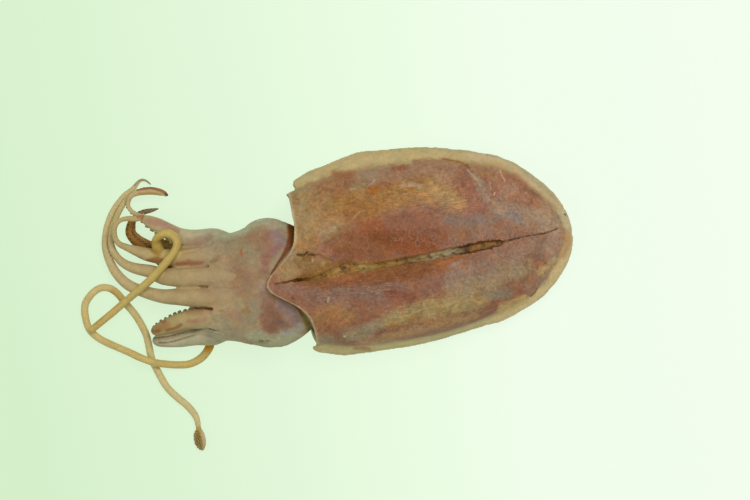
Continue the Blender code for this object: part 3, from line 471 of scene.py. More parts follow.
def volume_sign(verts, faces):
    """More than 0 where the faces of a closed skin look outwards."""
    total = 0.0
    for face in faces:
        for k in range(1, len(face) - 1):
            a, b, c = (Vector(verts[n]) for n in (face[0], face[k], face[k + 1]))
            total += a.dot(b.cross(c))
    return total


def facing_out(verts, faces):
    """The faces, turned round if they face inwards."""
    if volume_sign(verts, faces) < 0:
        return [tuple(face[::-1]) for face in faces]
    return faces


def wall_faces(rings, columns):
    """Faces from ring to ring. Each ring is given by the number of its first point."""
    faces = []
    for one, two in zip(rings, rings[1:]):
        for k in range(columns):
            after = (k + 1) % columns
            faces.append((one + k, one + after, two + after, two + k))
    return faces


def ring_skin(verts, columns, rings=None):
    """A closed skin through rings of the same number of points, with flat ends."""
    if rings is None:
        rings = range(0, len(verts), columns)
    faces = wall_faces(rings, columns)
    faces.append(tuple(range(rings[0], rings[0] + columns))[::-1])
    faces.append(tuple(range(rings[-1], rings[-1] + columns)))
    return verts, facing_out(verts, faces)


def tube(route, step, oral_root=180.0, oral_tip=180.0):
    """A closed tube along a route. Its oral angle turns evenly from the root to the tip."""
    total = route_keys(route)[-1]
    verts = []
    for place in route_frames(route, 0.0, total, step):
        oral = oral_root + (oral_tip - oral_root) * place[5] / total
        verts += [on_floor(section_point(place, oral, angle)) for angle in turns(TUBE_SIDES)]
    return ring_skin(verts, TUBE_SIDES)


SUNK_SIZE = 0.8  # the size of the end inside the head, as a share of the root's
# The top arms start further back: how far behind the root, how far over it, share of its width
TOP_ARM_STARTS = ((7.0, 0.35, 0.9), (4.0, 0.42, 1.0))
SWELL_END = 0.6  # the share of an arm where the swelling near its root has run out


def sunk_route(route, swell=0.0, fat=0.0):
    """The route, with a start further back inside the head, and swollen near its root."""
    x, y, z, width, height = route[0]
    rows = [(x + ROOT_SUNK, y, z, width * SUNK_SIZE, height * SUNK_SIZE)]
    if route in (ARM_1_RIGHT, ARM_1_LEFT):
        rows = [(x + back, y, z + rise, width * share, height) for back, rise, share in TOP_ARM_STARTS]
    keys = route_keys(route)
    for key, (x, y, z, width, height) in zip(keys, route):
        grow = 1 + fat + swell * max(0.0, 1 - key / (SWELL_END * keys[-1]))
        rows.append((x, y, z, width * grow, height * grow))
    return rows


def mantle_to_world(s, t, z):
    """A point of the mantle's own frame, in the solids' frame."""
    turn = math.radians(MANTLE_TILT)
    x = MANTLE_FRONT[0] + s * math.cos(turn) - t * math.sin(turn)
    y = MANTLE_FRONT[1] + s * math.sin(turn) + t * math.cos(turn)
    return Vector((x, y, z))


def mantle_station(s):
    """Half widths, top, bottom and widest line of the mantle at S."""
    keys = [row[0] for row in MANTLE_STATIONS]
    return between(keys, MANTLE_STATIONS, s)[1:]


def rounded(value, square):
    """The cosine or sine of a superellipse, from that of a circle."""
    return math.copysign(abs(value) ** (2 / square), value)


def mantle_point(s, angle, inset=0.0):
    """T and Z of a point round the mantle, or of one so far inside it."""
    left, right, top, bottom, widest = mantle_station(s)
    across = rounded(math.cos(angle), MANTLE_SQUARE)
    along = rounded(math.sin(angle), MANTLE_SQUARE)
    t = across * ((right if across > 0 else left) - inset)
    z = widest + along * ((top - widest if along > 0 else widest - bottom) - inset)
    return t, z


def neck_point(angle, s, grow):
    """A point round the neck's end, larger by grow on every side."""
    low_t, high_t, low, high = NECK
    across = rounded(math.cos(angle), HEAD_SQUARE) * ((high_t - low_t) / 2 + grow)
    along = rounded(math.sin(angle), HEAD_SQUARE) * ((high - low) / 2 + grow)
    return mantle_to_world(s, (low_t + high_t) / 2 + across, (low + high) / 2 + along)


def collar_at(angle):
    """S of the collar's edge: a lobe over the neck, and a notch below."""
    if math.sin(angle) > 0:
        t = mantle_point(LOBE_REACH, angle)[0]
        return LOBE_REACH * (1 - math.exp(-((t / LOBE_WIDTH) ** 2)))
    return LOBE_REACH + BELLY_NOTCH * math.sin(angle) ** 2


MANTLE_COLUMNS = 160
MANTLE_ROWS = 90
POCKET_ROWS = 12


def mantle_mesh():
    """The mantle with its open collar. The hollow narrows until the neck fills it."""
    verts = []
    for i in range(MANTLE_ROWS):
        for angle in turns(MANTLE_COLUMNS):
            front = collar_at(angle)
            s = front + (MANTLE_LENGTH - front) * (i / (MANTLE_ROWS - 1))
            t, z = mantle_point(s, angle)
            verts.append(on_floor(mantle_to_world(s, t, z)))
    for i in range(POCKET_ROWS):
        for angle in turns(MANTLE_COLUMNS):
            front = collar_at(angle)
            t, z = mantle_point(front, angle, COLLAR_WALL)
            inner = mantle_to_world(front, t, z)
            deep = neck_point(angle, POCKET_END, -POCKET_INSET)
            verts.append(inner.lerp(deep, i / (POCKET_ROWS - 1)))
    order = [*range(MANTLE_ROWS)][::-1] + [MANTLE_ROWS + i for i in range(POCKET_ROWS)]
    return ring_skin(verts, MANTLE_COLUMNS, [row * MANTLE_COLUMNS for row in order])


FIN_STEPS = 150
FIN_COLUMNS = 14
FIN_RIPPLE = 0.1  # how far a fin's edge waves up and down
FIN_FRAY = 0.07  # how far its edge wanders in and out
FIN_BEYOND = 0.12  # how far its skin reaches past the solid's edge
FIN_TIP_HALF = 0.3  # half its thickness there, before the round tip
FIN_ROUND = 0.35  # how far the round tip stands out
FIN_MEETS = 0.62  # the angle round the mantle, in radians above its side, where a fin's skin begins


def wave_of(share, seed):
    """A gentle uneven wave along a fin, from about -1 to 1."""
    return 0.6 * math.sin(share * 37 + seed) + 0.4 * math.sin(share * 91 + 3 * seed)


def fin_mesh(stations, side, seed):
    """A soft blade with a round edge. Its upper skin leaves the mantle's side in one smooth curve."""
    keys = [i / (len(stations) - 1) for i in range(len(stations))]
    upper, lower, tips = [], [], []
    for i in range(FIN_STEPS + 1):
        share = i / FIN_STEPS
        root_s, edge_s, edge_t, edge_z = between(keys, stations, share)
        left, right, top, _, widest = mantle_station(root_s)
        half = right if side > 0 else left
        wave = wave_of(share, seed)
        reach = edge_t + FIN_BEYOND - FIN_ROUND + FIN_FRAY * wave
        edge = mantle_to_world(edge_s, side * reach, edge_z + FIN_RIPPLE * wave)
        across = rounded(math.cos(FIN_MEETS), MANTLE_SQUARE) * half - FIN_SUNK * FIN_SKIN_SUNK
        height = widest + rounded(math.sin(FIN_MEETS), MANTLE_SQUARE) * (top - widest)
        meet = mantle_to_world(root_s, side * across, height - FIN_SKIN_UNDER)
        wall = mantle_to_world(root_s, side * (half - FIN_SKIN_UNDER), widest + FIN_BEND_RISE)
        root = mantle_to_world(root_s, side * (half - FIN_SUNK), widest)
        for k in range(FIN_COLUMNS + 1):
            out = k / FIN_COLUMNS
            blade = root.lerp(edge, out)
            blade.z += FIN_ARCH * math.sin(math.pi * out)
            thick = FIN_ROOT_HALF + (FIN_TIP_HALF - FIN_ROOT_HALF) * out
            over = meet.lerp(wall, out).lerp(wall.lerp(edge + Vector((0, 0, thick)), out), out)
            upper.append(over)
            lower.append(on_floor(blade - Vector((0, 0, thick))))
        out = edge - root
        out.z = 0
        tips.append(edge + out.normalized() * FIN_ROUND)
    verts = upper + lower + tips
    count = len(upper)
    width = FIN_COLUMNS + 1
    faces = []
    for i in range(FIN_STEPS):
        for k in range(FIN_COLUMNS):
            a, b = i * width + k, i * width + k + 1
            c, d = (i + 1) * width + k + 1, (i + 1) * width + k
            faces.append((a, b, c, d))
            faces.append((d + count, c + count, b + count, a + count))
        a, b = i * width, (i + 1) * width
        faces.append((a, b, b + count, a + count))
        a, b, tip = a + FIN_COLUMNS, b + FIN_COLUMNS, 2 * count + i
        faces.append((b, a, tip, tip + 1))
        faces.append((tip + 1, tip, a + count, b + count))
    for i, turned in ((0, True), (FIN_STEPS, False)):
        for k in range(FIN_COLUMNS):
            a, b = i * width + k, i * width + k + 1
            face = (a, b, b + count, a + count)
            faces.append(face[::-1] if turned else face)
        a = i * width + FIN_COLUMNS
        face = (a, 2 * count + i, a + count)
        faces.append(face[::-1] if turned else face)
    return verts, facing_out(verts, faces)


def head_point(x, angle):
    """A point round the head, which swells over the eyeballs."""
    stations = HEAD_STATIONS + BROW_STATIONS
    keys = [-row[0] for row in stations]
    _, low, high, bottom, top = between(keys, stations, -x)
    across = rounded(math.cos(angle), HEAD_SQUARE)
    along = rounded(math.sin(angle), HEAD_SQUARE)
    y = (low + high) / 2 + across * (high - low) / 2
    z = (bottom + top) / 2 + along * (top - bottom) / 2
    if along > 0:
        for swell_x, swell_y, reach, height in EYE_SWELLINGS:
            distance = math.hypot(x - swell_x, y - swell_y) / reach
            z += height * math.exp(-(distance**2))
    return on_floor((x, y, z))


def head_or_neck_point(x, angle):
    """The same, and behind the head's first station a point where it runs into the neck's end."""
    back = HEAD_STATIONS[0][0]
    point = head_point(min(x, back), angle)
    if x > back:
        neck = neck_point(angle, POCKET_END + NECK_SUNK, 0.0)
        point = point.lerp(neck, (x - back) / NECK_REACH)
    return point


HEAD_COLUMNS = 120
HEAD_ROWS = 96


def head_mesh():
    """The neck's end, the head and the skin in front of it, between the arms' roots."""
    back, front = HEAD_STATIONS[0][0] + NECK_REACH, BROW_STATIONS[-1][0]
    verts = []
    for i in range(HEAD_ROWS):
        x = back + (front - back) * i / (HEAD_ROWS - 1)
        verts += [head_or_neck_point(x, angle) for angle in turns(HEAD_COLUMNS)]
    return ring_skin(verts, HEAD_COLUMNS)


def eye_frame(place):
    """The eye's own frame in millimetres: Y looks out, X runs along the head, Z is up."""
    x, y, z, heading, tilt = place
    turn = Matrix.Rotation(math.radians(heading - 90), 4, "Z")
    lift = Matrix.Rotation(math.radians(tilt), 4, "X")
    return Matrix.Translation((x, y, z)) @ turn @ lift


LID_COLUMNS = 64
LID_SIDES = 14


def lid_mesh(place):
    """A fold of skin around one eye, thicker above it than below."""
    own = eye_frame(place)
    verts = []
    for angle in turns(LID_COLUMNS):
        thick = LID_THICKNESS * (LID_UPPER if math.sin(angle) > 0 else 1.0)
        x = EYE_HALF_LENGTH * LID_SPREAD * math.cos(angle)
        y = LID_OUT - LID_CORNERS * math.cos(angle) ** 2
        z = EYE_HALF_HEIGHT * LID_SPREAD * math.sin(angle)
        outward = Vector((math.cos(angle), 0, math.sin(angle)))
        for turn in turns(LID_SIDES):
            bulge = outward * math.cos(turn) + Vector((0, 1, 0)) * math.sin(turn)
            verts.append(own @ (Vector((x, y, z)) + bulge * thick))
    rings = [k * LID_SIDES for k in range(LID_COLUMNS)] + [0]
    return verts, facing_out(verts, wall_faces(rings, LID_SIDES))


def ball_mesh(middle, half, columns=28, rows=16):
    """A ball or egg in rings along X."""
    verts = []
    for i in range(1, rows):
        polar = math.pi * i / rows
        for angle in turns(columns):
            x = middle[0] - half[0] * math.cos(polar)
            y = middle[1] + half[1] * math.sin(polar) * math.cos(angle)
            z = middle[2] + half[2] * math.sin(polar) * math.sin(angle)
            verts.append(on_floor((x, y, z)))
    return ring_skin(verts, columns)


FUNNEL_COLUMNS = 48
FUNNEL_RISE = 1.7  # how far the funnel's back is raised into the throat


def funnel_mesh():
    """The funnel under the throat, with its open mouth forward."""
    rings = [(row, 1.0, 0.0) for row in FUNNEL_STATIONS]
    rings.append((FUNNEL_STATIONS[-1], FUNNEL_WALL_SHARE, 0.0))
    rings.append((FUNNEL_STATIONS[-1], FUNNEL_WALL_SHARE, FUNNEL_MOUTH_DEPTH))
    verts = []
    for (x, y, half, top), shrink, back in rings:
        for angle in turns(FUNNEL_COLUMNS):
            across = rounded(math.cos(angle), FUNNEL_SQUARE) * half * shrink
            along = rounded(math.sin(angle), FUNNEL_SQUARE)
            z = top / 2 + along * top / 2 * shrink
            if along > 0 and shrink == 1.0:
                z += FUNNEL_RISE * along * top / FUNNEL_STATIONS[0][3]
            verts.append(on_floor((x + back, y + across, z)))
    return ring_skin(verts, FUNNEL_COLUMNS)


# Small flaps of skin: part, and its route in X, Y, Z, width and height
FLAPS = (
    # the hook at the collar's right corner
    ("mantle", (-4.4, 17.1, 5.7, 2.2, 1.8), (-5.5, 17.6, 5.6, 1.5, 1.3), (-6.2, 17.95, 5.5, 0.95, 0.8),
     (-6.85, 18.2, 5.4, 0.25, 0.3)),
    # the fins' rounded front ends
    ("fin_right", (-3.2, 19.3, 4.8, 0.8, 0.7), (-4.3, 19.55, 4.75, 1.35, 0.75),
     (-5.2, 19.75, 4.7, 1.3, 0.65), (-5.75, 19.85, 4.65, 0.4, 0.3)),
    ("fin_left", (0.4, -8.6, 3.5, 1.0, 0.8), (-1.0, -8.5, 3.6, 1.25, 0.75),
     (-2.0, -8.2, 3.65, 1.15, 0.65), (-2.5, -8.05, 3.65, 0.4, 0.3)),
    # the collar's lower wall, which stands out under its left corner
    ("wall", (-2.6, -2.4, 3.2, 0.4, 2.0), (-2.35, -4.3, 3.3, 0.6, 3.0), (-2.2, -5.5, 3.6, 0.65, 3.4),
     (-1.75, -6.5, 4.0, 0.7, 3.2), (-1.2, -7.6, 4.2, 0.4, 2.2)),
    # the ring's end, down on the second right arm
    ("tentacle_right", (-29.25, 10.6, 5.7, 1.6, 1.5), (-29.0, 9.4, 5.4, 1.8, 1.7),
     (-28.6, 8.4, 4.8, 1.9, 1.7), (-28.0, 7.4, 4.2, 1.5, 1.3)),
    # skin between the second and third left arms
    ("arm_3_left", (-24.0, -5.5, 3.3, 1.2, 1.6), (-26.3, -6.1, 3.0, 1.3, 1.4),
     (-27.9, -6.3, 2.7, 1.3, 1.2), (-28.9, -6.35, 2.3, 0.8, 0.7)),
    # the tail's end between the fins
    ("tail", (38.6, 16.6, 4.5, 1.8, 0.9), (39.5, 15.5, 4.55, 2.6, 1.0), (40.1, 14.2, 4.6, 3.0, 1.1),
     (40.4, 12.9, 4.6, 3.3, 1.15), (40.6, 11.6, 4.6, 3.3, 1.15), (40.7, 10.3, 4.55, 2.8, 1.1),
     (40.6, 9.2, 4.5, 2.2, 1.0)),
    ("tail", (37.6, 12.4, 4.8, 3.6, 3.4), (39.4, 12.6, 4.8, 4.0, 2.6), (40.6, 12.5, 4.6, 3.0, 1.3)),
)


def skin_parts():
    """Every closed part of the skin: name, points, faces."""
    parts = [
        ("mantle", *mantle_mesh()),
        ("fin_right", *fin_mesh(FIN_RIGHT_STATIONS, 1, 0.7)),
        ("fin_left", *fin_mesh(FIN_LEFT_STATIONS, -1, 2.1)),
        ("head", *head_mesh()),
        ("lid", *lid_mesh(EYE_RIGHT)),
        ("lid", *lid_mesh(EYE_LEFT)),
        ("funnel", *funnel_mesh()),
        ("mouth", *ball_mesh(*BUCCAL_MASS)),
    ]
    for name, route, oral_root, oral_tip, _, swell, fat in ARMS:
        parts.append((name, *tube(sunk_route(route, swell, fat), TUBE_STEP, oral_root, oral_tip)))
    for name, route in TENTACLES:
        parts.append((name, *tube(sunk_route(route), TUBE_STEP)))
    for name, *route in FLAPS:
        parts.append((name, *tube(route, FINE_STEP)))
    parts.append(("club", *tube((TENTACLE_LEFT[-2], *CLUB), FINE_STEP, CLUB_ORAL, CLUB_ORAL)))
    return parts


def joined_mesh(parts):
    """All parts in one mesh, with the part's number for each face."""
    verts, faces, owner = [], [], []
    for number, (_, points, polygons) in enumerate(parts):
        base = len(verts)
        verts += [Vector(p) for p in points]
        faces += [tuple(n + base for n in polygon) for polygon in polygons]
        owner += [number] * len(polygons)
    return verts, faces, owner


def remeshed(verts, faces, voxel):
    """One closed surface round all the parts, as arrays of points and quads."""
    mesh = bpy.data.meshes.new("raw")
    mesh.from_pydata(verts, [], faces)
    obj = bpy.data.objects.new("raw", mesh)
    bpy.context.scene.collection.objects.link(obj)
    modifier = obj.modifiers.new("voxels", "REMESH")
    modifier.mode = "VOXEL"
    modifier.voxel_size = voxel
    modifier.use_smooth_shade = True
    graph = bpy.context.evaluated_depsgraph_get()
    done = obj.evaluated_get(graph).to_mesh()
    points = np.empty(len(done.vertices) * 3)
    done.vertices.foreach_get("co", points)
    corners = np.empty(len(done.loops), dtype=np.int64)
    done.loops.foreach_get("vertex_index", corners)
    sides = np.empty(len(done.polygons), dtype=np.int64)
    done.polygons.foreach_get("loop_total", sides)
    obj.to_mesh_clear()
    bpy.data.objects.remove(obj)
    bpy.data.meshes.remove(mesh)
    assert sides.min() == 4 and sides.max() == 4
    return points.reshape(-1, 3), corners.reshape(-1, 4)


def normals_of(points, quads):
    """Area-weighted point normals."""
    one = points[quads[:, 2]] - points[quads[:, 0]]
    two = points[quads[:, 3]] - points[quads[:, 1]]
    flat = np.cross(one, two)
    total = np.zeros_like(points)
    for k in range(4):
        for axis in range(3):
            total[:, axis] += np.bincount(quads[:, k], flat[:, axis], len(points))
    return total / np.maximum(np.linalg.norm(total, axis=1, keepdims=True), 1e-12)


def edges_of(quads):
    """Every pair of points that an edge joins, once."""
    pairs = np.concatenate([quads[:, [k, (k + 1) % 4]] for k in range(4)])
    pairs.sort(axis=1)
    return np.unique(pairs, axis=0)


def averaged(values, edges, count):
    """For each point, the mean of its neighbours' values."""
    if values.ndim == 1:
        total = np.bincount(edges[:, 0], values[edges[:, 1]], count)
        total += np.bincount(edges[:, 1], values[edges[:, 0]], count)
        number = np.bincount(edges.ravel(), minlength=count)
        return total / np.maximum(number, 1)
    return np.stack([averaged(values[:, k], edges, count) for k in range(values.shape[1])], axis=1)


def smoothed(points, edges, rounds, share=0.5, back=-0.52, weight=None):
    """Taubin smoothing: the surface loses its steps and keeps its size."""
    count = len(points)
    for _ in range(rounds):
        for step in (share, back):
            move = averaged(points, edges, count) - points
            if weight is not None:
                move *= weight[:, None]
            points = points + move * step
    return points


def spread(values, edges, rounds):
    """The values, taken as the mean of their neighbours' so many times."""
    for _ in range(rounds):
        values = averaged(values, edges, len(values))
    return values


def bell(value, middle, width):
    """1 at the middle, and falling softly to both sides."""
    return np.exp(-(((value - middle) / width) ** 2))


def soft_step(low, high, value):
    """From 0 at low to 1 at high, with soft ends."""
    t = np.clip((value - low) / (high - low), 0.0, 1.0)
    return t * t * (3 - 2 * t)


class Noise:
    """Smooth random values in space, the same on every run."""

    SIZE = 64  # cells of the table, which repeats in space
    AWAY = 1000.0  # keeps every place on the table's positive side
    FINER = 0.49  # the next octave's wave, as a share of the last

    def __init__(self, seed):
        self.table = np.random.default_rng(seed).random((self.SIZE,) * 3)

    def at(self, points, wave):
        """One octave, from -1 to 1."""
        place = points / wave + self.AWAY
        cell = np.floor(place).astype(np.int64)
        part = place - cell
        part = part * part * (3 - 2 * part)
        total = np.zeros(len(points))
        for corner in itertools.product((0, 1), repeat=3):
            index = (cell + np.array(corner)) % self.SIZE
            weight = np.prod(np.where(np.array(corner), part, 1 - part), axis=1)
            total += weight * self.table[index[:, 0], index[:, 1], index[:, 2]]
        return total * 2 - 1

    def octaves(self, points, wave, count=3, gain=0.5):
        """Octaves of shrinking waves, together from -1 to 1."""
        total, size, most = np.zeros(len(points)), 1.0, 0.0
        for _ in range(count):
            total += size * self.at(points, wave)
            most += size
            wave, size = wave * self.FINER, size * gain
        return total / most


def linear(code):
    """Linear red, green and blue of a hex colour."""
    values = []
    for k in (0, 2, 4):
        v = int(code[k : k + 2], 16) / 255
        values.append(v / 12.92 if v <= 0.04045 else ((v + 0.055) / 1.055) ** 2.4)
    return np.array(values)


def to_pixels(points):
    """Where points lie in the photograph, in its pixels."""
    u = PIXEL_ORIGIN[0] + points[:, 0] / PIXEL
    v = PIXEL_ORIGIN[1] - points[:, 1] / PIXEL
    return np.stack([u, v], axis=1)


def labels_of(points, verts, faces, owner):
    """The part that each point of the skin came from."""
    tree = BVHTree.FromPolygons(verts, faces)
    found = np.empty(len(points), dtype=np.int64)
    for n, point in enumerate(points):
        found[n] = owner[tree.find_nearest(point)[2]]
    return found


# Parts of the skin that are grooved and painted together
MANTLE = ("mantle",)
BODY = ("mantle", "fin_right", "fin_left", "tail")
HEAD = ("head", "lid")

# Grooves: the parts that they lie on, half width in photograph pixels, depth and lip in
# millimetres, how ragged, and the path in pixels
GROOVES = (
    (MANTLE, 1.3, 0.5, 0.06, 0.4, (298, 255), (304, 255.2), (308, 252.5), (313, 255)),
    (MANTLE, 1.2, 0.15, 0.05, 0.4, (317, 254.6), (323, 256.5), (328, 259), (334, 261)),
    (("mantle", "fin_right"), 1.5, 0.22, 0.16, 0.3, (443, 158.5), (453, 160.6), (463, 163.5), (469, 168)),
    (("mantle", "fin_right"), 1.2, 0.15, 0.1, 0.3, (394, 168), (404, 166.3)),
    ((*HEAD, "arm_1_right", "arm_2_right"), 1.5, 0.5, 0.05, 0.2, (178, 268), (190, 267.4), (199, 266.8),
     (208, 266)),
    ((*HEAD, "arm_1_right", "arm_1_left"), 1.3, 0.6, 0.05, 0.2, (201, 286.6), (207.5, 286.8)),
    ((*HEAD, "arm_1_left", "arm_2_left"), 1.5, 0.7, 0.05, 0.2, (196, 307.5), (205, 307.8), (212, 309)),
    ((*HEAD, "arm_2_left", "arm_3_left"), 1.3, 0.35, 0.05, 0.2, (153, 339.5), (168, 337), (180.6, 333.6),
     (195, 330.2), (208, 328.8), (219, 331.4)),
    ((*HEAD, "arm_3_left", "arm_4_left"), 1.2, 0.25, 0.05, 0.2, (158, 343.3), (171, 342.4), (184, 338.4),
     (196, 334.6)),
    ((*HEAD, "arm_2_right", "arm_3_right"), 1.4, 0.3, 0.05, 0.2, (184, 253), (194, 251), (202, 247.5),
     (212, 243)),
)

# The long crack over the shell: u, v and half width in photograph pixels
CRACK = (
    (275, 283.7, 0.6), (286, 282, 0.8), (292, 281, 1.0), (298, 280, 1.7), (304, 279.6, 1.4),
    (312, 278.6, 1.1), (320, 276.5, 1.5), (328, 272.5, 3.2), (336, 270.5, 4.6), (345, 268.5, 5.4),
    (353, 267.8, 5.2), (360, 267.6, 4.0), (367, 267.2, 3.3), (386, 265, 3.4), (403, 261, 3.8),
    (424, 257.8, 3.5), (436, 255.3, 4.2), (452, 251.6, 3.9), (464, 249.8, 4.4), (480, 246.5, 4.6),
    (490, 244.5, 4.2), (498, 243, 3.0), (503, 241.7, 1.5), (514, 239.2, 0.8), (527, 236.2, 0.8),
    (540, 234.3, 0.8), (548, 232, 0.8), (558, 228.3, 0.5),
)
CRACK_FROM, CRACK_TO = 275.0, 558.0
# u in the photograph, and the crack's depth there in millimetres
CRACK_DEPTH = (
    (275, 0.1), (292, 0.35), (298, 0.7), (304, 0.5), (320, 0.16), (345, 0.16), (367, 0.2), (395, 0.28),
    (424, 0.36), (452, 0.36), (466, 0.8), (474, 0.6), (490, 0.65), (503, 0.4), (514, 0.3), (558, 0.15),
)
# u in the photograph, and how dark the crack's edge is there
CRACK_EDGE = (
    (275, 0.7), (290, 0.95), (303, 0.8), (318, 0.35), (328, 0.12), (350, 0.22), (366, 0.1), (395, 0.15),
    (402, 0.55), (425, 0.35), (450, 0.3), (462, 0.9), (503, 0.95), (515, 0.65), (540, 0.55), (558, 0.25),
)
# u in the photograph, and the colour inside the crack there
CRACK_COLOURS = (
    (275, "8A6A34"), (290, "7A4E20"), (298, "4E260C"), (305, "6E4514"), (312, "8A6420"), (325, "94702C"),
    (340, "A27A42"), (350, "96682A"), (365, "A58A48"), (378, "8E6A2C"), (395, "946E38"), (408, "85602E"),
    (420, "94784A"), (436, "9E885C"), (452, "96825F"), (462, "7E6848"), (467, "4A3014"), (473, "90622C"),
    (484, "946A34"), (494, "8A6030"), (502, "8A6438"), (512, "7E5E48"), (558, "826450"),
)

# The colour that each part starts from, and an arm's colour at its tip
BASES = {
    "mantle": ("946850", "946850"),
    "fin_right": ("B59E68", "B59E68"),
    "fin_left": ("C3B27A", "C3B27A"),
    "head": ("A18A68", "A18A68"),
    "lid": ("98866C", "98866C"),
    "funnel": ("B0A07E", "B0A07E"),
    "mouth": ("8A6148", "8A6148"),
    "wall": ("9A8A62", "9A8A62"),
    "tail": ("B4A582", "B4A582"),
    "arm_1_right": ("B49B70", "C0B07A"),
    "arm_1_left": ("B49B70", "CBBB86"),
    "arm_2_right": ("B29668", "B8A872"),
    "arm_2_left": ("B8A470", "AA9462"),
    "arm_3_right": ("B4A884", "C2A874"),
    "arm_3_left": ("B8B290", "ACA484"),
    "arm_4_right": ("94682A", "9A6E30"),
    "arm_4_left": ("BCB692", "BCB692"),
    "tentacle_right": ("BFA656", "C6B069"),
    "tentacle_left": ("C4AA60", "CCBE88"),
    "club": ("B5A070", "B5A070"),
}
# Y, and the colour where the head runs into the arms
FAN = (
    (-7.2, "A29E7E"), (-5.6, "A89D7E"), (-3.8, "AC9870"), (-2.0, "AE9468"), (0.5, "AE946C"),
    (2.3, "A98D68"), (4.1, "AE966E"), (6.0, "A8906A"), (7.6, "AC946E"), (9.2, "A89276"), (11.4, "AAA286"),
)
BELLY = "BFAF8C"

